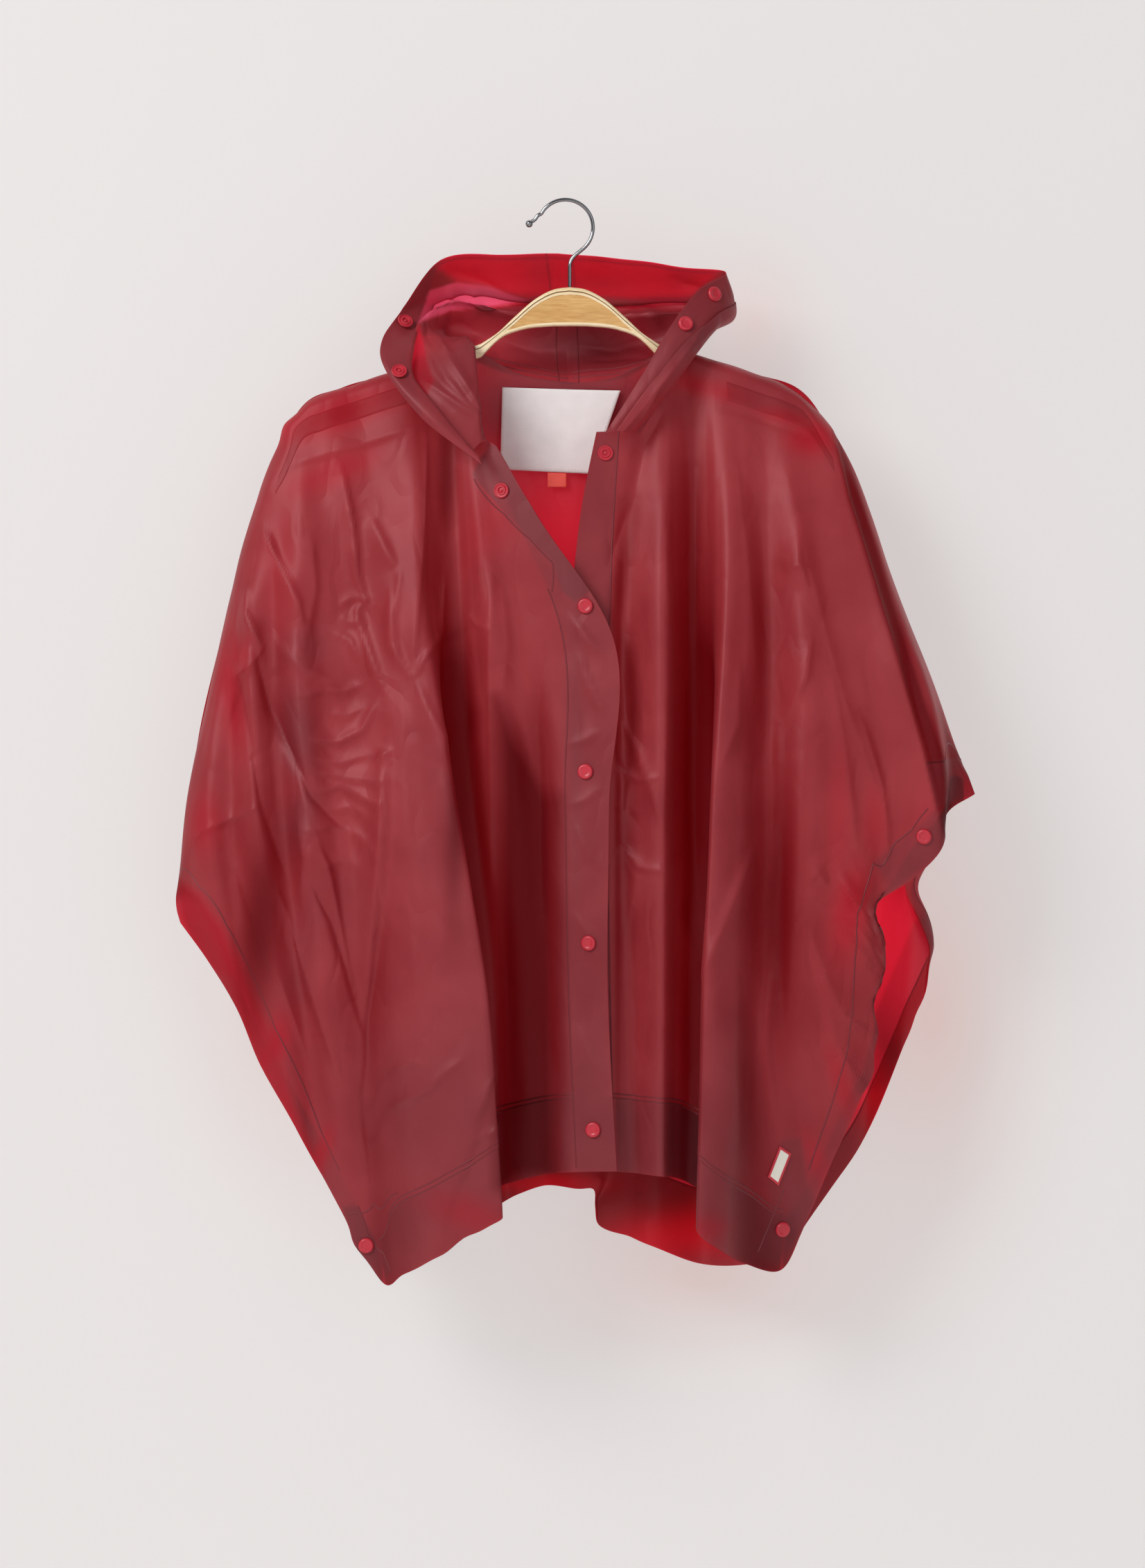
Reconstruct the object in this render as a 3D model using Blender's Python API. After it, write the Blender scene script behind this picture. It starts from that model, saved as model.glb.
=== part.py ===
"""Hooded rain poncho of see-through vinyl, snapped down the front, hung on a wooden coat hanger.

Frame: the origin is on the inside of the hook, plumb above its shank, where a rod would carry it.
+X is to the right of someone facing the poncho, -Y comes towards them and +Z is up.
The tables are in millimetres and mm() turns them into Blender's metres.

Each panel hangs as a row of ribs. A rib is a line that runs from the shoulder down to the hem, along
one crest, flank or valley of the folds. Its x and depth (y) are given at six heights, and a smooth
curve runs down each rib and then across from rib to rib.
"""
import math
from collections import namedtuple

import bmesh
import bpy
import numpy as np
from mathutils import Matrix, Vector

WALL = 1.2          # the panels' thickness
TAPE = 1.0          # thickness of the bands, tapes and labels
GAP = 0.35          # clearance between a panel and what lies on it
SEAM = 0.3          # clearance between pieces that meet edge to edge

SHOULDER_START = 95.0      # where the shoulder line leaves the neck opening
SHOULDER_Z = -131.0        # height of the cloth there
SHOULDER_SLOPE = 0.336     # fall of the shoulder line for each millimetre outwards
ON_HANGER = 10.0           # length of cloth that rolls over the shoulder line on the hanger
ON_SLEEVE = 26.0           # and where it falls beyond the hanger
SUBSTEPS = 2               # grid columns from one rib to the next
BODY_ROWS = 12             # grid rows between the shoulder seam and the hem band

# Heights down a rib, as fractions of its length.
LEVELS = (0.0, 0.10, 0.25, 0.50, 0.75, 1.0)

# x: at the top, collar, chest, waist, hip and hem. y: the depth at the same heights.
# top and hem are heights, band is the width of the turned-up edge, roll is how far the rib rolls over.
Rib = namedtuple("Rib", "name top hem band roll x y")


def shoulder(x):
    """Height of the cloth on the hanger's arm, x millimetres from its middle."""
    return SHOULDER_Z - SHOULDER_SLOPE * (abs(x) - SHOULDER_START)


FRONT_RIGHT = (
    Rib("cuff corner", -606, -650, 14, 0,
        (-351, -353, -354, -355, -354, -351), (-2, -4, -6, -8, -7, -5)),
    Rib("cuff fold", -520, -684, 34, ON_SLEEVE,
        (-341, -343, -345, -345, -338, -326), (-10, -14, -19, -23, -19, -13)),
    Rib("sleeve crest", -430, -727, 38, ON_SLEEVE,
        (-323, -325, -326, -323, -314, -299), (-12, -21, -33, -42, -36, -25)),
    Rib("sleeve flank", -345, -778, 38, ON_SLEEVE,
        (-303, -304, -304, -302, -293, -278), (-12, -23, -33, -38, -32, -22)),
    Rib("arm crest", -270, -826, 38, ON_SLEEVE,
        (-283, -284, -286, -280, -266, -250), (-12, -26, -44, -56, -48, -33)),
    Rib("arm valley", -215, -878, 38, ON_SLEEVE,
        (-260, -262, -266, -258, -240, -222), (-12, -25, -37, -42, -36, -20)),
    Rib("shoulder crest", -184.5, -926, 38, ON_HANGER,
        (-241, -242, -244, -234, -214, -196), (-12, -29, -48, -60, -50, -19)),
    Rib("hem corner", shoulder(221), -974, 40, ON_HANGER,
        (-221, -221, -219, -207, -186, -168), (-12, -28, -40, -49, -42, -16)),
    Rib("shoulder valley", shoulder(193), -965, 62, ON_HANGER,
        (-193, -192, -190, -184, -168, -149), (-12, -27, -38, -52, -52, -32)),
    Rib("chest crest", shoulder(168), -947, 64, ON_HANGER,
        (-168, -165, -160, -148, -132, -114), (-12, -30, -50, -71, -78, -70)),
    Rib("lapping edge", shoulder(150), -915, 66, ON_HANGER,
        (-150, -143, -137, -107, -76, -62), (-12, -32, -54, -84, -98, -95)),
    Rib("lap turn", shoulder(139), -908, 66, ON_HANGER,
        (-139, -132, -126, -106, -79, -66), (-12, -28, -43, -66, -79, -77)),
    Rib("lap return", shoulder(126), -899, 66, ON_HANGER,
        (-126, -119, -114, -115, -97, -85), (-12, -22, -31, -43, -53, -52)),
    Rib("recess", shoulder(110), -887, 66, ON_HANGER,
        (-110, -106, -101, -92, -73, -65), (-12, -20, -27, -29, -35, -36)),
    Rib("neck corner", shoulder(97), -882, 66, 0,
        (-97, -96, -90, -76, -58, -52), (-10, -24, -36, -36, -38, -40)),
    Rib("breast crest", -168, -878, 66, 0,
        (-91, -86, -74, -54, -42, -37), (-18, -33, -46, -46, -43, -43)),
    Rib("breast flank", -194, -874, 66, 0,
        (-85, -71, -48, -30, -22, -17), (-28, -38, -44, -44, -42, -42)),
    Rib("placket seam", -213, -872, 66, 0,
        (-78, -52, -10, -4, -1, 6), (-35, -44, -54, -56, -54, -52)),
    Rib("front edge", -222, -871, 66, 0,
        (-66, -28, 35, 35, 34, 42), (-39, -50, -62, -66, -62, -60)),
)

FRONT_LEFT = (
    Rib("front edge", -209, -866, 66, 0,
        (24, 11, 1, -4, -3, 2), (-33, -38, -44, -46, -44, -42)),
    Rib("placket seam", -208, -872, 66, 0,
        (44, 40, 36, 34, 36, 40), (-31, -36, -42, -44, -42, -40)),
    Rib("breast valley", -204, -874, 66, 0,
        (63, 56, 52, 52, 56, 60), (-28, -31, -34, -37, -37, -37)),
    Rib("breast crest", -183, -876, 66, 0,
        (80, 79, 80, 82, 82, 82), (-22, -35, -52, -58, -56, -54)),
    Rib("neck corner", shoulder(97), -878, 66, 0,
        (97, 95, 94, 96, 96, 95), (-10, -24, -36, -38, -38, -38)),
    Rib("recess", shoulder(110), -884, 66, ON_HANGER,
        (110, 109, 108, 110, 110, 108), (-12, -19, -24, -25, -27, -29)),
    Rib("lap return", shoulder(121), -900, 66, ON_HANGER,
        (121, 121, 123, 132, 134, 130), (-12, -22, -32, -36, -40, -42)),
    Rib("lap turn", shoulder(131), -914, 66, ON_HANGER,
        (131, 131, 132, 126, 119, 114), (-12, -29, -46, -60, -66, -68)),
    Rib("lapping edge", shoulder(141), -926, 66, ON_HANGER,
        (141, 142, 142, 129, 120, 115), (-12, -32, -55, -78, -87, -87)),
    Rib("front crest", shoulder(154), -942, 64, ON_HANGER,
        (154, 156, 158, 152, 143, 137), (-12, -29, -48, -68, -77, -76)),
    Rib("front valley", shoulder(173), -955, 62, ON_HANGER,
        (173, 175, 178, 178, 168, 158), (-12, -25, -36, -46, -50, -42)),
    Rib("shoulder crest", shoulder(193), -962, 50, ON_HANGER,
        (193, 198, 206, 207, 196, 190), (-12, -31, -52, -65, -54, -18)),
    Rib("arm front", -175, -925, 38, ON_HANGER,
        (211, 219, 230, 237, 226, 210), (-12, -30, -48, -57, -48, -18)),
    Rib("arm flank", -198, -868, 38, ON_SLEEVE,
        (231, 239, 250, 264, 256, 234), (-12, -29, -45, -52, -44, -24)),
    Rib("sleeve front", -238, -790, 38, ON_SLEEVE,
        (254, 260, 268, 280, 276, 266), (-12, -27, -43, -48, -41, -27)),
    Rib("cuff dip", -285, -692, 38, ON_SLEEVE,
        (272, 277, 284, 294, 290, 280), (-12, -26, -43, -49, -43, -33)),
    Rib("cuff flank", -330, -632, 38, ON_SLEEVE,
        (287, 292, 299, 309, 306, 291), (-12, -26, -42, -51, -46, -38)),
    Rib("sleeve fold", -378, -586, 38, ON_SLEEVE,
        (305, 310, 319, 330, 335, 331), (-12, -24, -40, -50, -49, -42)),
    Rib("sleeve top", -440, -552, 34, ON_SLEEVE,
        (330, 333, 337, 342, 343, 339), (-10, -12, -16, -22, -25, -25)),
    Rib("cuff corner", -500, -534, 12, 0,
        (351, 353, 355, 359, 362, 365), (-2, -3, -4, -6, -7, -7)),
)

BACK = (
    Rib("right cuff corner", -604, -644, 14, 0,
        (-350, -351, -352, -352, -350, -347), (2, 4, 6, 8, 8, 7)),
    Rib("right cuff crest", -470, -712, 38, ON_SLEEVE,
        (-332, -333, -333, -330, -322, -306), (12, 22, 32, 36, 29, 18)),
    Rib("right cuff valley", -345, -775, 38, ON_SLEEVE,
        (-303, -303, -302, -298, -288, -272), (12, 21, 28, 29, 22, 13)),
    Rib("right arm crest", -250, -846, 38, ON_SLEEVE,
        (-275, -275, -274, -266, -252, -232), (12, 28, 46, 52, 40, 24)),
    Rib("right arm valley", -184.5, -916, 38, ON_HANGER,
        (-241, -240, -238, -228, -214, -197), (12, 24, 34, 36, 25, -4)),
    Rib("right corner", shoulder(205), -958, 44, ON_HANGER,
        (-205, -204, -202, -196, -186, -172), (12, 29, 46, 54, 38, -9)),
    Rib("right blade valley", shoulder(169), -944, 62, ON_HANGER,
        (-169, -168, -168, -162, -150, -136), (12, 24, 34, 40, 34, 14)),
    Rib("right blade crest", shoulder(133), -925, 66, ON_HANGER,
        (-133, -134, -136, -128, -110, -92), (12, 31, 52, 68, 63, 46)),
    Rib("right spine valley", shoulder(103), -904, 66, ON_HANGER,
        (-103, -102, -100, -92, -76, -60), (12, 26, 40, 50, 45, 30)),
    Rib("right neck corner", shoulder(90), -897, 66, 0,
        (-90, -88, -82, -74, -60, -46), (10, 26, 42, 55, 50, 36)),
    Rib("right spine crest", -153, -890, 66, 0,
        (-48, -50, -52, -46, -34, -22), (20, 35, 53, 66, 63, 48)),
    Rib("centre back", -161, -892, 66, 0,
        (0, -2, -4, -6, -2, 2), (25, 32, 43, 52, 50, 38)),
    Rib("hem step", -158, -898, 66, 0,
        (36, 35, 32, 28, 26, 24), (23, 35, 49, 57, 53, 39)),
    Rib("left spine crest", -147, -927, 66, 0,
        (62, 62, 60, 54, 46, 36), (18, 36, 56, 68, 58, 42)),
    Rib("left neck corner", shoulder(90), -936, 66, 0,
        (90, 87, 82, 74, 66, 56), (10, 27, 45, 58, 50, 34)),
    Rib("left spine valley", shoulder(103), -944, 66, ON_HANGER,
        (103, 103, 100, 92, 84, 76), (12, 26, 38, 46, 39, 22)),
    Rib("left blade crest", shoulder(133), -960, 66, ON_HANGER,
        (133, 135, 138, 136, 128, 118), (12, 31, 51, 62, 54, 33)),
    Rib("left blade valley", shoulder(169), -959, 60, ON_HANGER,
        (169, 171, 176, 180, 172, 158), (12, 24, 33, 38, 30, 6)),
    Rib("left corner", shoulder(205), -948, 44, ON_HANGER,
        (205, 210, 218, 224, 213, 192), (12, 29, 47, 52, 36, -10)),
    Rib("left arm valley", -194, -906, 38, ON_SLEEVE,
        (228, 234, 242, 250, 242, 222), (12, 23, 31, 33, 22, -6)),
    Rib("left arm crest", -250, -846, 38, ON_SLEEVE,
        (258, 262, 270, 280, 276, 260), (12, 26, 43, 48, 37, 17)),
    Rib("left cuff valley", -345, -768, 38, ON_SLEEVE,
        (292, 296, 302, 310, 308, 298), (12, 21, 28, 29, 22, 10)),
    Rib("left cuff crest", -430, -700, 38, ON_SLEEVE,
        (326, 327, 328, 330, 330, 324), (12, 21, 32, 35, 28, 14)),
    Rib("left cuff corner", -500, -610, 30, 0,
        (350, 348, 342, 332, 322, 311), (2, 6, 12, 16, 14, 8)),
)

# The hood: ribs from the face edge (rim) to the neck seam, points as (x, y, z).
HoodRib = namedtuple("HoodRib", "name rim mid_rim middle mid_neck neck")

HOOD_RIGHT = (
    HoodRib("front neck", (-78, -62, -240), (-82, -61, -233), (-84, -57, -224), (-80, -51, -217),
            (-73, -42, -213)),
    HoodRib("lower lapel", (-131, -54, -198), (-126, -57, -195), (-115, -54, -192), (-98, -46, -191),
            (-84, -32, -188)),
    HoodRib("upper lapel", (-165, -34, -154), (-158, -38, -157), (-142, -38, -160), (-116, -34, -162),
            (-91, -21, -160)),
    HoodRib("arm fold", (-169, -12, -126), (-162, -14, -129), (-147, -16, -132), (-122, -16, -133),
            (-97, -10, -127)),
    HoodRib("side", (-150, 8, -95), (-143, 15, -99), (-131, 20, -106), (-113, 16, -116), (-94, 5, -125)),
    HoodRib("back corner", (-117, 15, -51), (-110, 36, -72), (-104, 46, -97), (-92, 38, -122),
            (-75, 19, -141)),
    HoodRib("back", (-62, 17, -46), (-56, 42, -72), (-50, 56, -103), (-45, 46, -133), (-42, 25, -152)),
    HoodRib("centre seam", (-11, 18, -45), (-8, 44, -74), (-5, 60, -108), (-3, 50, -139),
            (-1.5, 28, -158)),
)

HOOD_LEFT = (
    HoodRib("centre seam", (-10, 18, -45), (-7, 44, -74), (-4, 60, -108), (-2, 50, -139),
            (-0.5, 28, -158)),
    HoodRib("back", (50, 17, -50), (50, 42, -76), (48, 56, -105), (45, 46, -134), (41, 25, -154)),
    HoodRib("back corner", (104, 14, -58), (109, 34, -78), (106, 45, -101), (90, 38, -124),
            (69, 20, -143)),
    HoodRib("side", (141, 4, -63), (148, 13, -84), (147, 18, -102), (126, 14, -116), (94, 5, -125)),
    HoodRib("arm fold", (116, -16, -80), (127, -15, -95), (132, -13, -110), (119, -13, -123),
            (97, -10, -127)),
    HoodRib("upper lapel", (88, -32, -118), (97, -33, -126), (104, -32, -137), (103, -28, -148),
            (91, -18, -156)),
    HoodRib("lower lapel", (62, -42, -163), (70, -45, -166), (79, -44, -171), (83, -39, -177),
            (79, -28, -180)),
    HoodRib("front neck", (31, -50, -205), (38, -50, -203), (47, -48, -201), (56, -44, -200),
            (62, -36, -201)),
)
HOOD_SUBSTEPS = 2
HOOD_ROWS = 10

# The closed snaps down the front: (x, z) of each cap.
CENTRE_SNAPS = ((14, -366), (14, -514), (17, -667), (21, -834))
SNAP_RADIUS = 7.0
SNAP_HEIGHT = 2.6

HANGER_THICK = 12.0
HANGER_ARM = 14.0          # depth of an arm
HANGER_REACH = 192.0       # half of the hanger's length
HANGER_CLEAR = 0.9         # cloth to wood
HOOK_WIRE = 1.75           # radius of the hook's wire
HOOK_BEND = 25.0           # radius of its bend, to the wire's middle
HOOK_CENTRE_X = -4.0       # the bend's middle is left of the shank
HOOK_BALL = 3.4            # radius of the ball on its tip

Finish = namedtuple("Finish", "name colour roughness metallic alpha")
VINYL = Finish("burgundy vinyl", (0.30, 0.03, 0.045), 0.45, 0.0, 0.75)
VINYL_DOUBLE = Finish("doubled vinyl", (0.22, 0.012, 0.025), 0.45, 0.0, 0.85)
SNAP_RED = Finish("red snap", (0.55, 0.02, 0.035), 0.35, 0.0, 1.0)
WOOD = Finish("varnished beech", (0.72, 0.45, 0.18), 0.4, 0.0, 1.0)
CHROME = Finish("chrome", (0.8, 0.8, 0.82), 0.15, 1.0, 1.0)
SATIN = Finish("white satin", (0.85, 0.82, 0.8), 0.5, 0.0, 1.0)
LABEL_RED = Finish("red satin", (0.6, 0.02, 0.03), 0.5, 0.0, 1.0)


def mm(x, y, z):
    """A place in millimetres as a Blender vector in metres."""
    return Vector((x, y, z)) * 0.001


def clear_scene():
    for obj in list(bpy.data.objects):
        bpy.data.objects.remove(obj, do_unlink=True)


def material(finish):
    """One Principled material for each finish, made once."""
    found = bpy.data.materials.get(finish.name)
    if found:
        return found
    made = bpy.data.materials.new(finish.name)
    made.use_nodes = True
    shader = made.node_tree.nodes["Principled BSDF"]
    shader.inputs["Base Color"].default_value = (*finish.colour, 1)
    shader.inputs["Roughness"].default_value = finish.roughness
    shader.inputs["Metallic"].default_value = finish.metallic
    shader.inputs["Alpha"].default_value = finish.alpha
    return made


def add_object(name, mesh, finish):
    mesh.materials.append(material(finish))
    obj = bpy.data.objects.new(name, mesh)
    bpy.context.collection.objects.link(obj)
    return obj


def smooth_curve(stations, values, at):
    """Values at the places `at` on a smooth curve that passes through `values` at the stations."""
    stations = np.asarray(stations, float)
    values = np.asarray(values, float)
    slopes = np.gradient(values, stations, axis=0)
    found = []
    for place in at:
        k = int(np.clip(np.searchsorted(stations, place, side="right") - 1, 0, len(stations) - 2))
        width = stations[k + 1] - stations[k]
        t = (place - stations[k]) / width
        rise, bend = t * t * (3 - 2 * t), t * (1 - t)
        found.append(values[k] * (1 - rise) + values[k + 1] * rise
                     + width * bend * ((1 - t) * slopes[k] - t * slopes[k + 1]))
    return np.array(found)


# ---------------------------------------------------------------- panels

def row_lengths(rib):
    """Distances down a rib, in millimetres: roll, shoulder seam, body, band seam and hem."""
    length = rib.top - rib.hem
    short = min(1.0, length / 200)
    roll = rib.roll or ON_HANGER
    start = [short * step for step in (0, 0.12 * roll, 0.45 * roll, roll, roll + 16, roll + 34)]
    band_top = length - min(rib.band, 0.45 * length)
    body = np.linspace(start[-1], band_top, BODY_ROWS + 1)[1:]
    band = [band_top + part * (length - band_top) for part in (0.5, 1.0)]
    return np.array(start + list(body) + band)


SHOULDER_SEAM_ROWS = (4, 5)
BAND_ROWS = 2                      # grid rows that the band at the hem covers


def rib_points(rib):
    """The rib's points, one for each grid row."""
    down = row_lengths(rib)
    length = rib.top - rib.hem
    across_depth = np.column_stack([rib.x, rib.y])
    points = smooth_curve(LEVELS, across_depth, down / length)
    depth = points[:, 1]
    if rib.roll:
        part = np.clip(down / (rib.roll * min(1.0, length / 200)), 0, 1)
        depth = depth * np.sqrt(1 - (1 - part) ** 2)
    return np.column_stack([points[:, 0], depth, rib.top - down])


class Sheet:
    """A grid of points on a piece's outer face, with the normals that point out of it."""

    def __init__(self, points, normals):
        self.points = points
        self.normals = normals

    def lifted(self, distance):
        return self.points + self.normals * distance

    def part(self, columns, rows):
        """The sheet over a stretch of columns and rows, kept on the same points."""
        stretch = slice(columns[0], columns[1] + 1), slice(rows[0], rows[1] + 1)
        return Sheet(self.points[stretch], self.normals[stretch])

    def seen_at(self, x, z):
        """The place on the sheet that someone in front of it sees at (x, z), and its normal."""
        grid, normals = self.points, self.normals
        corners = np.stack([grid[:-1, :-1], grid[1:, :-1], grid[1:, 1:], grid[:-1, 1:]])
        found = None
        for b, c in ((1, 2), (2, 3)):
            first, second, third = corners[0], corners[b], corners[c]
            u, v = second - first, third - first
            area = u[..., 0] * v[..., 2] - v[..., 0] * u[..., 2]
            dx, dz = x - first[..., 0], z - first[..., 2]
            s = (dx * v[..., 2] - v[..., 0] * dz) / area
            t = (u[..., 0] * dz - dx * u[..., 2]) / area
            for cell in np.argwhere((s >= -1e-6) & (t >= -1e-6) & (s + t <= 1 + 1e-6)):
                i, j = cell
                place = first[i, j] + s[i, j] * u[i, j] + t[i, j] * v[i, j]
                if found is None or place[1] < found[0][1]:
                    found = place, normals[i, j]
        return found


def sheet_through(points, outward):
    """The sheet through a grid of points; outward is 1 or -1, the side that its normals take."""
    normals = np.cross(np.gradient(points, axis=0), np.gradient(points, axis=1)) * outward
    return Sheet(points, normals / np.linalg.norm(normals, axis=2, keepdims=True))


def panel_sheet(ribs, outward):
    lines = np.array([rib_points(rib) for rib in ribs])
    steps = np.linspace(0, len(ribs) - 1, (len(ribs) - 1) * SUBSTEPS + 1)
    points = smooth_curve(range(len(ribs)), lines, steps)
    rolls = np.interp(steps, range(len(ribs)), [rib.roll for rib in ribs]) >= ON_HANGER
    points[rolls, 0, 1] = outward * SEAM / 2
    sheet = sheet_through(points, outward)
    upright = sheet.normals[rolls, 0] * (1, 0, 1)
    sheet.normals[rolls, 0] = upright / np.linalg.norm(upright, axis=1, keepdims=True)
    return sheet


def hood_sheet(ribs):
    lines = []
    for rib in ribs:
        down = np.linspace(0, 1, HOOD_ROWS + 1)
        lines.append(smooth_curve((0, 0.25, 0.5, 0.75, 1), rib[1:], down))
    steps = np.linspace(0, len(ribs) - 1, (len(ribs) - 1) * HOOD_SUBSTEPS + 1)
    return sheet_through(smooth_curve(range(len(ribs)), np.array(lines), steps), 1)


def shell_mesh(name, outer, inner):
    """A closed mesh between two grids of points."""
    columns, rows = outer.shape[:2]
    bm = bmesh.new()
    front, back = ([[bm.verts.new(mm(*point)) for point in line] for line in grid]
                   for grid in (outer, inner))
    for i in range(columns - 1):
        for j in range(rows - 1):
            a, b, c, d = (i, j), (i + 1, j), (i + 1, j + 1), (i, j + 1)
            for triangle in ((a, b, c), (a, c, d)):
                bm.faces.new([front[u][v] for u, v in triangle])
                bm.faces.new([back[u][v] for u, v in reversed(triangle)])
    rim = [(i, 0) for i in range(columns)] + [(columns - 1, j) for j in range(1, rows)]
    rim += [(i, rows - 1) for i in range(columns - 2, -1, -1)] + [(0, j) for j in range(rows - 2, 0, -1)]
    for (a, b), (c, d) in zip(rim, rim[1:] + rim[:1]):
        bm.faces.new((front[c][d], front[a][b], back[a][b], back[c][d]))
    bmesh.ops.recalc_face_normals(bm, faces=bm.faces)
    mesh = bpy.data.meshes.new(name)
    bm.to_mesh(mesh)
    bm.free()
    mesh.shade_smooth()
    mesh.set_sharp_from_angle(angle=math.radians(50))
    return mesh


def add_sheet(name, sheet, finish, low=-WALL, high=0.0):
    """A piece of cloth whose faces lie `low` and `high` from the sheet's points."""
    return add_object(name, shell_mesh(name, sheet.lifted(high), sheet.lifted(low)), finish)


def add_inner_band(name, sheet, columns, rows):
    """A turned edge: a second wall behind the panel, GAP from it."""
    add_sheet(name, sheet.part(columns, rows), VINYL_DOUBLE, -WALL - GAP - TAPE, -WALL - GAP)


def add_outer_tape(name, sheet, columns, rows):
    """A tape that lies on the panel's outer face."""
    add_sheet(name, sheet.part(columns, rows), VINYL_DOUBLE, GAP, GAP + TAPE)


def column_of(ribs, name):
    """The grid column that follows the named rib."""
    return [rib.name for rib in ribs].index(name) * SUBSTEPS


def build_panels():
    panels = {"front_panel_right": (FRONT_RIGHT, -1), "front_panel_left": (FRONT_LEFT, -1),
              "back_panel": (BACK, 1)}
    sheets = {}
    for name, (ribs, outward) in panels.items():
        sheets[name] = panel_sheet(ribs, outward)
        add_sheet(name, sheets[name], VINYL)
    return sheets


def build_bands(sheets):
    """The doubled edges: hem, cuffs and plackets, each behind its own panel."""
    right, left, back = sheets["front_panel_right"], sheets["front_panel_left"], sheets["back_panel"]
    last = right.points.shape[1] - 1
    band = (last - BAND_ROWS, last)

    corner = column_of(FRONT_RIGHT, "hem corner")
    placket = column_of(FRONT_RIGHT, "placket seam")
    end = right.points.shape[0] - 1
    add_inner_band("cuff_band_front_right", right, (2, corner), band)
    add_inner_band("hem_band_front_right", right, (corner + 1, placket - 1), band)
    add_inner_band("placket_right", right, (placket, end), (1, last))

    corner = column_of(FRONT_LEFT, "shoulder crest")
    placket = column_of(FRONT_LEFT, "placket seam")
    end = left.points.shape[0] - 1
    add_inner_band("placket_left", left, (0, placket), (1, last))
    add_inner_band("hem_band_front_left", left, (placket + 1, corner), band)
    add_inner_band("cuff_band_front_left", left, (corner + 1, end - 2), band)

    first = column_of(BACK, "right corner")
    corner = column_of(BACK, "left corner")
    end = back.points.shape[0] - 1
    add_inner_band("cuff_band_back_right", back, (2, first), band)
    add_inner_band("hem_band_back", back, (first + 1, corner), band)
    add_inner_band("cuff_band_back_left", back, (corner + 1, end - 2), band)


def build_shoulder_tapes(sheets):
    """The welded shoulder seams, just in front of the shoulder line."""
    right = sheets["front_panel_right"]
    left = sheets["front_panel_left"]
    reach = (column_of(FRONT_RIGHT, "arm valley"), column_of(FRONT_RIGHT, "lapping edge"))
    add_outer_tape("shoulder_tape_right", right, reach, SHOULDER_SEAM_ROWS)
    reach = (column_of(FRONT_LEFT, "lapping edge"), column_of(FRONT_LEFT, "arm flank"))
    add_outer_tape("shoulder_tape_left", left, reach, SHOULDER_SEAM_ROWS)


# ---------------------------------------------------------------- hood

FACE_BAND_ROWS = 3


def build_hood():
    right, left = hood_sheet(HOOD_RIGHT), hood_sheet(HOOD_LEFT)
    add_sheet("hood_half_right", right, VINYL)
    add_sheet("hood_half_left", left, VINYL)
    end = right.points.shape[0] - 1
    add_inner_band("face_band_right", right, (0, end), (0, FACE_BAND_ROWS))
    add_inner_band("face_band_left", left, (0, end), (0, FACE_BAND_ROWS))
    return right, left


# ---------------------------------------------------------------- snaps and labels

def add_disc(name, place, normal, radius, height, finish, lift=0.8):
    """A domed cap that stands on a surface, seen along its normal."""
    profile = ((0.0, 0.0), (1.0, 0.0), (1.0, 0.6), (0.8, 1.0), (0.5, 0.8), (0.0, 0.8))
    bm = bmesh.new()
    line = [bm.verts.new(mm(radius * r, 0, height * h)) for r, h in profile]
    edges = [bm.edges.new(pair) for pair in zip(line, line[1:])]
    bmesh.ops.spin(bm, geom=line + edges, cent=(0, 0, 0), axis=(0, 0, 1), angle=math.tau, steps=14,
                   use_merge=True)
    bmesh.ops.remove_doubles(bm, verts=bm.verts, dist=1e-6)
    bmesh.ops.recalc_face_normals(bm, faces=bm.faces)
    mesh = bpy.data.meshes.new(name)
    bm.to_mesh(mesh)
    bm.free()
    mesh.shade_smooth()
    mesh.set_sharp_from_angle(angle=math.radians(40))
    disc = add_object(name, mesh, finish)
    normal = Vector(normal)
    turn = normal.to_track_quat("Z", "Y").to_matrix().to_4x4()
    disc.matrix_world = Matrix.Translation(mm(*(Vector(place) + normal * lift))) @ turn


def add_snap(name, sheet, x, z, side=1, lift=0.9):
    """A snap's cap where the sheet is seen at (x, z): on its outer face, or inside it with side -1."""
    place, normal = sheet.seen_at(x, z)
    if side < 0:
        place = place - normal * (WALL + GAP + TAPE)
    add_disc(name, place, normal * side, SNAP_RADIUS, SNAP_HEIGHT, SNAP_RED, lift)


def build_snaps(sheets, hoods):
    right, left = sheets["front_panel_right"], sheets["front_panel_left"]
    for number, (x, z) in enumerate(CENTRE_SNAPS, 1):
        add_snap(f"snap_front_{number}", right, x, z)
    add_snap("snap_neck_socket", right, -61, -262)
    add_snap("snap_neck_stud", left, 32, -228)
    add_snap("snap_corner_right", right, -183, -940, lift=1.4)
    add_snap("snap_corner_left", left, 191, -925)
    add_snap("snap_elbow_right", sheets["back_panel"], -316, -640, lift=3.2)    # this sleeve's edge is turned to the back
    add_snap("snap_elbow_left", left, 317, -572)

    hood_right, hood_left = hoods
    add_snap("snap_hood_right_1", hood_right, -150, -110, side=-1, lift=3.0)
    add_snap("snap_hood_right_2", hood_right, -153, -157, side=-1, lift=1.1)
    add_snap("snap_hood_left_1", hood_left, 130, -84)
    add_snap("snap_hood_left_2", hood_left, 104, -112)


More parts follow.
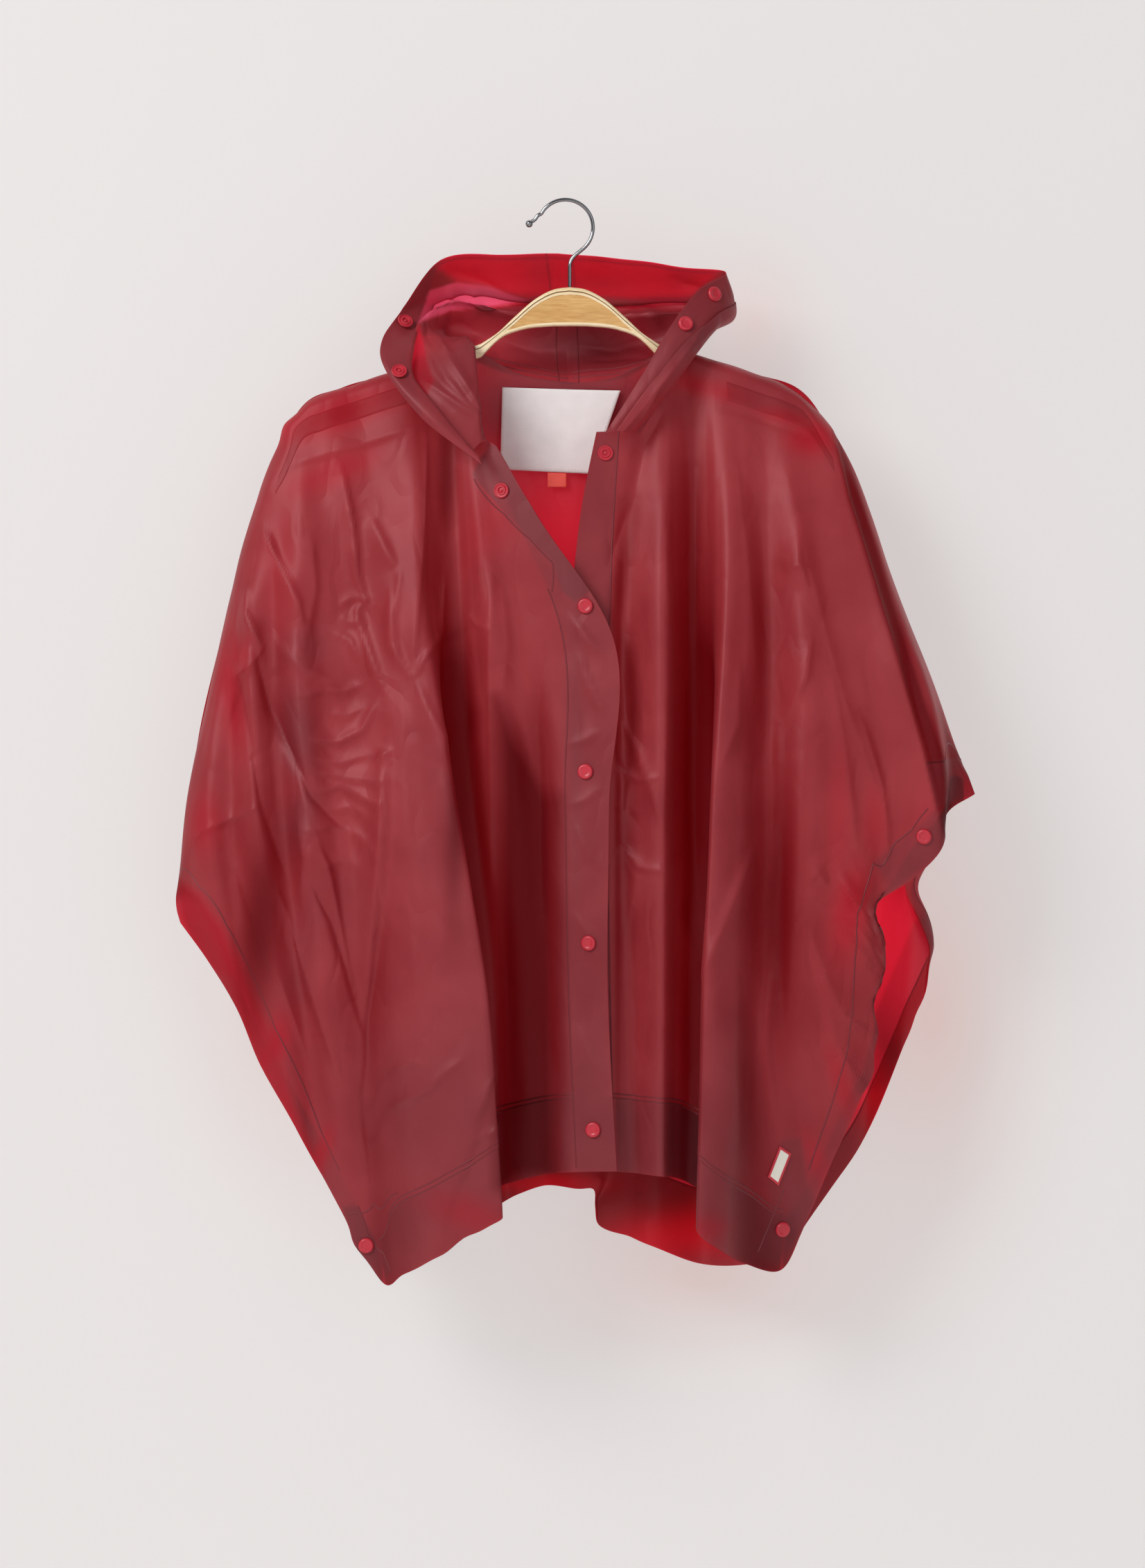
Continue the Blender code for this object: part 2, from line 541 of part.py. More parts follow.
def add_hanging_label(name, corners, finish, rows=4, bow=0.0):
    """A label between four corners (x, y, z): top left, top right, bottom right, bottom left.

    bow is how far its side edges come forward of its middle.
    """
    top_left, top_right, bottom_right, bottom_left = (np.array(c, float) for c in corners)
    across = np.linspace(0, 1, 7)
    down = np.linspace(0, 1, rows + 1)
    points = np.array([[(top_left * (1 - a) + top_right * a) * (1 - d)
                        + (bottom_left * (1 - a) + bottom_right * a) * d for d in down] for a in across])
    points[..., 1] -= bow * (2 * across[:, None] - 1) ** 2
    add_sheet(name, sheet_through(points, -1), finish, -TAPE / 2, TAPE / 2)


def build_labels(sheets):
    add_hanging_label("neck_label", ((-61, 22.8, -166), (46, 22.8, -169), (20, 28, -244), (-63, 28, -240)),
                      SATIN, bow=6)
    add_hanging_label("size_tab", ((-20, 28, -242.9), (-3, 28, -243.4), (-3, 28.5, -256), (-20, 28.5, -256)),
                      LABEL_RED, 1)
    left = sheets["front_panel_left"]
    corners = [left.seen_at(x, z) for x, z in ((184, -850), (197, -852), (190, -885), (177, -883))]
    add_hanging_label("side_label", [place + normal * 2 * TAPE for place, normal in corners], LABEL_RED, 2)


# ---------------------------------------------------------------- hanger

def arm_top(x):
    """Height of the hanger's upper edge under the shoulder line."""
    return SHOULDER_Z - SHOULDER_SLOPE * (x - SHOULDER_START) - WALL - HANGER_CLEAR


def build_hanger():
    neck = [(0, -77), (14, -79), (30, -87), (50, -104), (65, -118), (80, arm_top(80))]
    tip = [(HANGER_REACH - 3, arm_top(HANGER_REACH - 3)), (HANGER_REACH, arm_top(HANGER_REACH) - 4),
           (HANGER_REACH, arm_top(HANGER_REACH) - HANGER_ARM + 3),
           (HANGER_REACH - 4, arm_top(HANGER_REACH) - HANGER_ARM + 1)]
    under = [(80, arm_top(80) - HANGER_ARM + 2), (62, -123), (45, -116), (20, -112.5)]
    half = neck + tip + under
    outline = half + [(-x, z) for x, z in reversed(half) if x > 0]
    outline.insert(len(half), (0, -112))
    bm = bmesh.new()
    face = bm.faces.new([bm.verts.new(mm(x, -HANGER_THICK / 2, z)) for x, z in outline])
    extruded = bmesh.ops.extrude_face_region(bm, geom=[face])
    moved = [v for v in extruded["geom"] if isinstance(v, bmesh.types.BMVert)]
    bmesh.ops.translate(bm, verts=moved, vec=mm(0, HANGER_THICK, 0))
    bmesh.ops.recalc_face_normals(bm, faces=bm.faces)
    mesh = bpy.data.meshes.new("hanger_wood")
    bm.to_mesh(mesh)
    bm.free()
    wood = add_object("hanger_wood", mesh, WOOD)
    bevel = wood.modifiers.new("eased edges", "BEVEL")
    bevel.width = 0.003
    bevel.segments = 2
    bevel.limit_method = "ANGLE"
    bevel.angle_limit = math.radians(50)


def hook_path():
    """The wire's middle line, from the tip over the bend and down the shank."""
    bend_z = HOOK_WIRE - math.sqrt((HOOK_BEND - HOOK_WIRE) ** 2 - HOOK_CENTRE_X ** 2) - HOOK_WIRE
    points = [(-33.6, -17.4), (-31, -15.4), (-28.8, -12.3)]
    for angle in range(150, -51, -10):
        turn = math.radians(angle)
        points.append((HOOK_CENTRE_X + HOOK_BEND * math.cos(turn), bend_z + HOOK_BEND * math.sin(turn)))
    points += [(4.5, -48.5), (1.2, -53), (0, -58), (0, -64), (0, -70), (0, -76.5)]
    return points


def build_hook():
    data = bpy.data.curves.new("hanger_hook", "CURVE")
    data.dimensions = "3D"
    data.bevel_depth = HOOK_WIRE * 0.001
    data.bevel_resolution = 3
    data.use_fill_caps = True
    spline = data.splines.new("POLY")
    path = hook_path()
    spline.points.add(len(path) - 1)
    for point, (x, z) in zip(spline.points, path):
        point.co = (*mm(x, 0, z), 1)
    data.materials.append(material(CHROME))
    hook = bpy.data.objects.new("hanger_hook", data)
    bpy.context.collection.objects.link(hook)

    bm = bmesh.new()
    bmesh.ops.create_uvsphere(bm, u_segments=20, v_segments=12, radius=HOOK_BALL * 0.001)
    mesh = bpy.data.meshes.new("hook_ball")
    bm.to_mesh(mesh)
    bm.free()
    mesh.shade_smooth()
    ball = add_object("hook_ball", mesh, CHROME)
    tip, before = Vector(path[0]), Vector(path[1])
    away = (tip - before).normalized() * (HOOK_BALL + SEAM)
    ball.location = mm(tip.x + away.x, 0, tip.y + away.y)


def main():
    clear_scene()
    sheets = build_panels()
    build_bands(sheets)
    build_shoulder_tapes(sheets)
    hoods = build_hood()
    build_snaps(sheets, hoods)
    build_labels(sheets)
    build_hanger()
    build_hook()


main()
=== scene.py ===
"""The looks of a hooded rain poncho of frosted vinyl on a wooden coat hanger.

The frame gives the solids. Each cloth solid is replaced by a thin sheet of the same form: the ribs of
its folds are the ones the solids have, and the creases are laid over them, in millimetres.
+X is to the right of someone facing the poncho, -Y comes towards them and +Z is up.
"""
import math
from collections import namedtuple
from types import SimpleNamespace

import bmesh
import bpy
import numpy as np
from mathutils import Matrix, Vector


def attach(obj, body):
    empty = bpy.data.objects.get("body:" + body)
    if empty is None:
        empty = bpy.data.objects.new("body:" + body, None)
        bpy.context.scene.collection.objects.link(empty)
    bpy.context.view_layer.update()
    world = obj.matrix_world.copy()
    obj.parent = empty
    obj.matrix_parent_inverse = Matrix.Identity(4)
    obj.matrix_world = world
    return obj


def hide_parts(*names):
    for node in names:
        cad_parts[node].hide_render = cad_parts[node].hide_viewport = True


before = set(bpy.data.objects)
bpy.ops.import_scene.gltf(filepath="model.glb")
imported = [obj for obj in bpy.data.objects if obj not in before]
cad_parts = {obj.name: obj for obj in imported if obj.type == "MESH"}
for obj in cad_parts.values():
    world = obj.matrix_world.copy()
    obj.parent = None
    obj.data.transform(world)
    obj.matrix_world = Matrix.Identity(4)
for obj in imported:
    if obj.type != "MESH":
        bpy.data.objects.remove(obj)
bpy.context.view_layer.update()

WALL = 1.2                 # the solids' wall, in millimetres
SHOULDER_START = 95.0      # where the shoulder line leaves the neck opening
SHOULDER_Z = -131.0        # height of the cloth there
SHOULDER_SLOPE = 0.336     # fall of the shoulder line for each millimetre outwards
ON_HANGER = 10.0           # length of cloth that rolls over the shoulder line on the hanger
ON_SLEEVE = 26.0           # and where it falls beyond the hanger
SUBSTEPS = 12              # grid columns from one rib to the next
BODY_ROWS = 300            # grid rows between the shoulder seam and the hem band

# Heights down a rib, as fractions of its length.
LEVELS = (0.0, 0.10, 0.25, 0.50, 0.75, 1.0)

# x: at the top, collar, chest, waist, hip and hem. y: the depth at the same heights.
# top and hem are heights, band is the width of the turned-up edge, roll is how far the rib rolls over.
Rib = namedtuple("Rib", "name top hem band roll x y")


def shoulder(x):
    """Height of the cloth on the hanger's arm, x millimetres from its middle."""
    return SHOULDER_Z - SHOULDER_SLOPE * (abs(x) - SHOULDER_START)


FRONT_RIGHT = (
    Rib("cuff corner", -606, -650, 14, 0,
        (-351, -353, -354, -355, -354, -351), (-2, -4, -6, -8, -7, -5)),
    Rib("cuff fold", -520, -684, 34, ON_SLEEVE,
        (-341, -343, -345, -345, -338, -326), (-10, -14, -19, -23, -19, -13)),
    Rib("sleeve crest", -430, -727, 38, ON_SLEEVE,
        (-323, -325, -326, -323, -314, -299), (-12, -21, -33, -42, -36, -25)),
    Rib("sleeve flank", -345, -778, 38, ON_SLEEVE,
        (-303, -304, -304, -302, -293, -278), (-12, -23, -33, -38, -32, -22)),
    Rib("arm crest", -270, -826, 38, ON_SLEEVE,
        (-283, -284, -286, -280, -266, -250), (-12, -26, -44, -56, -48, -33)),
    Rib("arm valley", -215, -878, 38, ON_SLEEVE,
        (-260, -262, -266, -258, -240, -222), (-12, -25, -37, -42, -36, -20)),
    Rib("shoulder crest", -184.5, -926, 38, ON_HANGER,
        (-241, -242, -244, -234, -214, -196), (-12, -29, -48, -60, -50, -19)),
    Rib("hem corner", shoulder(221), -974, 40, ON_HANGER,
        (-221, -221, -219, -207, -186, -168), (-12, -28, -40, -49, -42, -16)),
    Rib("shoulder valley", shoulder(193), -965, 62, ON_HANGER,
        (-193, -192, -190, -184, -168, -149), (-12, -27, -38, -52, -52, -32)),
    Rib("chest crest", shoulder(168), -947, 64, ON_HANGER,
        (-168, -165, -160, -148, -132, -114), (-12, -30, -50, -71, -78, -70)),
    Rib("lapping edge", shoulder(150), -915, 66, ON_HANGER,
        (-150, -143, -137, -107, -76, -62), (-12, -32, -54, -84, -98, -95)),
    Rib("lap turn", shoulder(139), -908, 66, ON_HANGER,
        (-139, -132, -126, -106, -79, -66), (-12, -28, -43, -66, -79, -77)),
    Rib("lap return", shoulder(126), -899, 66, ON_HANGER,
        (-126, -119, -114, -115, -97, -85), (-12, -22, -31, -43, -53, -52)),
    Rib("recess", shoulder(110), -887, 66, ON_HANGER,
        (-110, -106, -101, -92, -73, -65), (-12, -20, -27, -29, -35, -36)),
    Rib("neck corner", shoulder(97), -882, 66, 0,
        (-97, -96, -90, -76, -58, -52), (-10, -24, -36, -36, -38, -40)),
    Rib("breast crest", -168, -878, 66, 0,
        (-91, -86, -74, -54, -42, -37), (-18, -33, -46, -46, -43, -43)),
    Rib("breast flank", -194, -874, 66, 0,
        (-85, -71, -48, -30, -22, -17), (-28, -38, -44, -44, -42, -42)),
    Rib("placket seam", -213, -872, 66, 0,
        (-78, -52, -10, -4, -1, 6), (-35, -44, -54, -56, -54, -52)),
    Rib("front edge", -222, -871, 66, 0,
        (-66, -28, 35, 35, 34, 42), (-39, -50, -62, -66, -62, -60)),
)

FRONT_LEFT = (
    Rib("front edge", -209, -866, 66, 0,
        (24, 11, 1, -4, -3, 2), (-33, -38, -44, -46, -44, -42)),
    Rib("placket seam", -208, -872, 66, 0,
        (44, 40, 36, 34, 36, 40), (-31, -36, -42, -44, -42, -40)),
    Rib("breast valley", -204, -874, 66, 0,
        (63, 56, 52, 52, 56, 60), (-28, -31, -34, -37, -37, -37)),
    Rib("breast crest", -183, -876, 66, 0,
        (80, 79, 80, 82, 82, 82), (-22, -35, -52, -58, -56, -54)),
    Rib("neck corner", shoulder(97), -878, 66, 0,
        (97, 95, 94, 96, 96, 95), (-10, -24, -36, -38, -38, -38)),
    Rib("recess", shoulder(110), -884, 66, ON_HANGER,
        (110, 109, 108, 110, 110, 108), (-12, -19, -24, -25, -27, -29)),
    Rib("lap return", shoulder(121), -900, 66, ON_HANGER,
        (121, 121, 123, 132, 134, 130), (-12, -22, -32, -36, -40, -42)),
    Rib("lap turn", shoulder(131), -914, 66, ON_HANGER,
        (131, 131, 132, 126, 119, 114), (-12, -29, -46, -60, -66, -68)),
    Rib("lapping edge", shoulder(141), -926, 66, ON_HANGER,
        (141, 142, 142, 129, 120, 115), (-12, -32, -55, -78, -87, -87)),
    Rib("front crest", shoulder(154), -942, 64, ON_HANGER,
        (154, 156, 158, 152, 143, 137), (-12, -29, -48, -68, -77, -76)),
    Rib("front valley", shoulder(173), -955, 62, ON_HANGER,
        (173, 175, 178, 178, 168, 158), (-12, -25, -36, -46, -50, -42)),
    Rib("shoulder crest", shoulder(193), -962, 50, ON_HANGER,
        (193, 198, 206, 207, 196, 190), (-12, -31, -52, -65, -54, -18)),
    Rib("arm front", -175, -925, 38, ON_HANGER,
        (211, 219, 230, 237, 226, 210), (-12, -30, -48, -57, -48, -18)),
    Rib("arm flank", -198, -868, 38, ON_SLEEVE,
        (231, 239, 250, 264, 256, 234), (-12, -29, -45, -52, -44, -24)),
    Rib("sleeve front", -238, -790, 38, ON_SLEEVE,
        (254, 260, 268, 280, 276, 266), (-12, -27, -43, -48, -41, -27)),
    Rib("cuff dip", -285, -692, 38, ON_SLEEVE,
        (272, 277, 284, 294, 290, 280), (-12, -26, -43, -49, -43, -33)),
    Rib("cuff flank", -330, -632, 38, ON_SLEEVE,
        (287, 292, 299, 309, 306, 291), (-12, -26, -42, -51, -46, -38)),
    Rib("sleeve fold", -378, -586, 38, ON_SLEEVE,
        (305, 310, 319, 330, 335, 331), (-12, -24, -40, -50, -49, -42)),
    Rib("sleeve top", -440, -552, 34, ON_SLEEVE,
        (330, 333, 337, 342, 343, 339), (-10, -12, -16, -22, -25, -25)),
    Rib("cuff corner", -500, -534, 12, 0,
        (351, 353, 355, 359, 362, 365), (-2, -3, -4, -6, -7, -7)),
)

BACK = (
    Rib("right cuff corner", -604, -644, 14, 0,
        (-350, -351, -352, -352, -350, -347), (2, 4, 6, 8, 8, 7)),
    Rib("right cuff crest", -470, -712, 38, ON_SLEEVE,
        (-332, -333, -333, -330, -322, -306), (12, 22, 32, 36, 29, 18)),
    Rib("right cuff valley", -345, -775, 38, ON_SLEEVE,
        (-303, -303, -302, -298, -288, -272), (12, 21, 28, 29, 22, 13)),
    Rib("right arm crest", -250, -846, 38, ON_SLEEVE,
        (-275, -275, -274, -266, -252, -232), (12, 28, 46, 52, 40, 24)),
    Rib("right arm valley", -184.5, -916, 38, ON_HANGER,
        (-241, -240, -238, -228, -214, -197), (12, 24, 34, 36, 25, -4)),
    Rib("right corner", shoulder(205), -958, 44, ON_HANGER,
        (-205, -204, -202, -196, -186, -172), (12, 29, 46, 54, 38, -9)),
    Rib("right blade valley", shoulder(169), -944, 62, ON_HANGER,
        (-169, -168, -168, -162, -150, -136), (12, 24, 34, 40, 34, 14)),
    Rib("right blade crest", shoulder(133), -925, 66, ON_HANGER,
        (-133, -134, -136, -128, -110, -92), (12, 31, 52, 68, 63, 46)),
    Rib("right spine valley", shoulder(103), -904, 66, ON_HANGER,
        (-103, -102, -100, -92, -76, -60), (12, 26, 40, 50, 45, 30)),
    Rib("right neck corner", shoulder(90), -897, 66, 0,
        (-90, -88, -82, -74, -60, -46), (10, 26, 42, 55, 50, 36)),
    Rib("right spine crest", -153, -890, 66, 0,
        (-48, -50, -52, -46, -34, -22), (20, 35, 53, 66, 63, 48)),
    Rib("centre back", -161, -892, 66, 0,
        (0, -2, -4, -6, -2, 2), (25, 32, 43, 52, 50, 38)),
    Rib("hem step", -158, -898, 66, 0,
        (36, 35, 32, 28, 26, 24), (23, 35, 49, 57, 53, 39)),
    Rib("left spine crest", -147, -927, 66, 0,
        (62, 62, 60, 54, 46, 36), (18, 36, 56, 68, 58, 42)),
    Rib("left neck corner", shoulder(90), -936, 66, 0,
        (90, 87, 82, 74, 66, 56), (10, 27, 45, 58, 50, 34)),
    Rib("left spine valley", shoulder(103), -944, 66, ON_HANGER,
        (103, 103, 100, 92, 84, 76), (12, 26, 38, 46, 39, 22)),
    Rib("left blade crest", shoulder(133), -960, 66, ON_HANGER,
        (133, 135, 138, 136, 128, 118), (12, 31, 51, 62, 54, 33)),
    Rib("left blade valley", shoulder(169), -959, 60, ON_HANGER,
        (169, 171, 176, 180, 172, 158), (12, 24, 33, 38, 30, 6)),
    Rib("left corner", shoulder(205), -948, 44, ON_HANGER,
        (205, 210, 218, 224, 213, 192), (12, 29, 47, 52, 36, -10)),
    Rib("left arm valley", -194, -906, 38, ON_SLEEVE,
        (228, 234, 242, 250, 242, 222), (12, 23, 31, 33, 22, -6)),
    Rib("left arm crest", -250, -846, 38, ON_SLEEVE,
        (258, 262, 270, 280, 276, 260), (12, 26, 43, 48, 37, 17)),
    Rib("left cuff valley", -345, -768, 38, ON_SLEEVE,
        (292, 296, 302, 310, 308, 298), (12, 21, 28, 29, 22, 10)),
    Rib("left cuff crest", -430, -700, 38, ON_SLEEVE,
        (326, 327, 328, 330, 330, 324), (12, 21, 32, 35, 28, 14)),
    Rib("left cuff corner", -500, -610, 30, 0,
        (350, 348, 342, 332, 322, 311), (2, 6, 12, 16, 14, 8)),
)

# The hood: ribs from the face edge (rim) to the neck seam, points as (x, y, z).
HoodRib = namedtuple("HoodRib", "name rim mid_rim middle mid_neck neck")

HOOD_RIGHT = (
    HoodRib("front neck", (-78, -62, -240), (-82, -61, -233), (-84, -57, -224), (-80, -51, -217),
            (-73, -42, -213)),
    HoodRib("lower lapel", (-131, -54, -198), (-126, -57, -195), (-115, -54, -192), (-98, -46, -191),
            (-84, -32, -188)),
    HoodRib("upper lapel", (-165, -34, -154), (-158, -38, -157), (-142, -38, -160), (-116, -34, -162),
            (-91, -21, -160)),
    HoodRib("arm fold", (-169, -12, -126), (-162, -14, -129), (-147, -16, -132), (-122, -16, -133),
            (-97, -10, -127)),
    HoodRib("side", (-150, 8, -95), (-143, 15, -99), (-131, 20, -106), (-113, 16, -116), (-94, 5, -125)),
    HoodRib("back corner", (-117, 15, -51), (-110, 36, -72), (-104, 46, -97), (-92, 38, -122),
            (-75, 19, -141)),
    HoodRib("back", (-62, 17, -46), (-56, 42, -72), (-50, 56, -103), (-45, 46, -133), (-42, 25, -152)),
    HoodRib("centre seam", (-11, 18, -45), (-8, 44, -74), (-5, 60, -108), (-3, 50, -139),
            (-1.5, 28, -158)),
)

HOOD_LEFT = (
    HoodRib("centre seam", (-10, 18, -45), (-7, 44, -74), (-4, 60, -108), (-2, 50, -139),
            (-0.5, 28, -158)),
    HoodRib("back", (50, 17, -50), (50, 42, -76), (48, 56, -105), (45, 46, -134), (41, 25, -154)),
    HoodRib("back corner", (104, 14, -58), (109, 34, -78), (106, 45, -101), (90, 38, -124),
            (69, 20, -143)),
    HoodRib("side", (141, 4, -63), (148, 13, -84), (147, 18, -102), (126, 14, -116), (94, 5, -125)),
    HoodRib("arm fold", (116, -16, -80), (127, -15, -95), (132, -13, -110), (119, -13, -123),
            (97, -10, -127)),
    HoodRib("upper lapel", (88, -32, -118), (97, -33, -126), (104, -32, -137), (103, -28, -148),
            (91, -18, -156)),
    HoodRib("lower lapel", (62, -42, -163), (70, -45, -166), (79, -44, -171), (83, -39, -177),
            (79, -28, -180)),
    HoodRib("front neck", (31, -50, -205), (38, -50, -203), (47, -48, -201), (56, -44, -200),
            (62, -36, -201)),
)
HOOD_SUBSTEPS = 12
HOOD_ROWS = 120

# A crease is a line as seen from the front: points are (x, z). width is how far it reaches to each side,
# height is how far it stands out (below 0 it is a trough), and lean stretches one side: the right one of
# a line that runs down, the upper one of a line that runs to the right.
Crease = namedtuple("Crease", "points width height lean", defaults=(1.0,))

RIGHT_FRONT_CREASES = (
    # shoulder and upper arm
    Crease(((-335, -572), (-312, -560), (-278, -546)), 3.0, 3.0, 2.0),
    Crease(((-234, -568), (-214, -562), (-174, -576)), 3.0, 3.0, 2.2),
    Crease(((-160, -350), (-159, -400), (-140, -431)), 5.0, 3.6, 0.5),
    Crease(((-112, -340), (-116, -388), (-138, -431)), 5.0, 3.6, 0.5),
    Crease(((-161, -498), (-165, -558), (-172, -636), (-181, -709)), 26, 5.5, 0.13),
    Crease(((-185, -810), (-181, -850), (-177, -883)), 3.0, -3.5, 3.2),
    Crease(((-257, -240), (-194, -222), (-126, -201)), 3.5, 3.0, 3.0),
    Crease(((-276, -292), (-260, -327), (-243, -361), (-238, -386)), 13, 6.0, 0.25),
    Crease(((-290, -345), (-288, -377), (-276, -401)), 10, 5.5, 0.3),
    Crease(((-303, -432), (-288, -422), (-275, -404)), 3.5, 3.5, 2.4),
    Crease(((-284, -400), (-268, -456), (-247, -503), (-231, -535), (-207, -561), (-180, -577)), 4.0, -6.0, 1.5),
    Crease(((-298, -425), (-289, -470), (-276, -540), (-258, -600)), 4.5, -5.0, 1.6),
    Crease(((-262, -400), (-240, -420), (-214, -432)), 5, 3.0, 2.0),
    Crease(((-232, -300), (-228, -350), (-236, -400)), 9, 3.5, 0.5),
    # the long edge that breaks at the star
    Crease(((-203, -245), (-193, -298), (-189, -340), (-181, -361)), 13, 7.5, 0.22),
    Crease(((-188, -372), (-181, -400), (-172, -425), (-164, -440)), 13, 6.5, 0.28),
    Crease(((-206, -366), (-196, -359), (-181, -360)), 3.0, 3.0, 2.0),
    Crease(((-190, -386), (-190, -370), (-180, -357)), 3.0, 3.0),
    Crease(((-206, -374), (-198, -380), (-190, -382)), 3.0, 2.5, 2.0),
    Crease(((-178, -285), (-165, -312), (-154, -332)), 12, 4.5, 0.3),
    Crease(((-150, -330), (-157, -375), (-154, -420)), 5, 3.0),
    Crease(((-212, -388), (-196, -396), (-188, -414)), 5, 3.0, 0.5),
    # lapping fold
    Crease(((-128, -215), (-132, -300), (-136, -380), (-140, -428)), 12, 5.0, 0.3),
    Crease(((-139, -428), (-129, -450), (-113, -482), (-110, -508)), 10, 3.5, 0.3),
    Crease(((-166, -500), (-165, -560), (-168, -650)), 8, 4.5, 0.35),
    Crease(((-150, -440), (-146, -520), (-142, -600)), 10, 2.5, 0.6),
    Crease(((-236, -604), (-213, -647), (-200, -690), (-186, -744)), 3.2, -7.0, 3.0),
    Crease(((-226, -570), (-214, -610), (-200, -680), (-188, -738)), 10, 5.0, 0.3),
    Crease(((-168, -600), (-171, -653), (-182, -737), (-182, -773), (-185, -810)), 3.2, -6.0, 3.4),
    Crease(((-67, -788), (-76, -826), (-88, -862), (-104, -904), (-116, -945)), 3.5, -5.0, 3.6),
    Crease(((-70, -330), (-71, -420), (-70, -610)), 9, 6.0),
    Crease(((-30, -440), (-28, -540), (-26, -640)), 11, -5.0),
    Crease(((-262, -620), (-232, -700), (-205, -790)), 5, 6.0, 2.6),
    Crease(((-300, -600), (-268, -680), (-236, -770)), 5, 5.0, 2.2),
    Crease(((-140, -640), (-134, -720), (-120, -800)), 10, 3.0, 0.5),
    Crease(((-156, -780), (-140, -774), (-124, -780)), 2.6, 2.6, 2.0),
    Crease(((-160, -815), (-130, -800), (-96, -770)), 4, 4.0, 2.0),
    Crease(((-68, -785), (-78, -810), (-92, -832)), 4, 3.5),
    Crease(((-84, -842), (-73, -838), (-64, -832)), 3, 3.0, 2.0),
    # breast, beside the placket
    Crease(((-60, -350), (-56, -400), (-60, -440)), 8, 2.5),
    Crease(((-92, -372), (-84, -382), (-70, -388)), 3, 2.0, 2.0),
    # placket
    Crease(((2, -374), (14, -392), (28, -410)), 5, 3.0, 0.5),
    Crease(((8, -404), (18, -436), (32, -462)), 6, 3.5, 0.4),
    Crease(((2, -490), (14, -486), (26, -478)), 3, 2.2, 2.0),
    Crease(((0, -545), (14, -540), (30, -528)), 3, 2.2, 2.0),
    Crease(((6, -560), (20, -590), (34, -604)), 6, 2.5, 0.5),
    Crease(((4, -640), (20, -660), (32, -690)), 6, 2.0, 0.5),
    Crease(((10, -740), (20, -770), (36, -790)), 6, 2.0, 0.5),
)
# The crook of the arm, where the film is pushed together: long wrinkles one above another.
CROOK_CREASES = (
    Crease(((-238, -447), (-222, -441), (-200, -443), (-186, -437)), 3.2, 4.2, 2.6),
    Crease(((-229, -485), (-207, -488), (-184, -477), (-171, -450)), 3.2, 5.0, 2.6),
    Crease(((-214, -462), (-198, -464), (-184, -456)), 3.0, 2.4, 2.0),
    Crease(((-226, -503), (-204, -507), (-176, -498)), 3.0, 3.0, 2.4),
    Crease(((-223, -515), (-197, -520), (-163, -524)), 3.2, 4.6, 2.8),
    Crease(((-223, -532), (-204, -527), (-184, -537), (-163, -547)), 3.2, 4.6, 2.4),
    Crease(((-212, -549), (-196, -546), (-178, -556)), 3.0, 3.0, 2.2),
    Crease(((-196, -566), (-184, -574), (-172, -586)), 5.0, 3.4, 0.5),
    Crease(((-244, -552), (-236, -590), (-240, -630)), 3.2, 5.0, 3.0),
    Crease(((-222, -600), (-204, -594), (-186, -600)), 3.0, 2.6, 2.2),
    Crease(((-170, -492), (-163, -500), (-160, -508)), 2.6, 3.6, 0.6),
    Crease(((-176, -504), (-166, -500), (-158, -494)), 2.6, 2.6, 1.4),
)
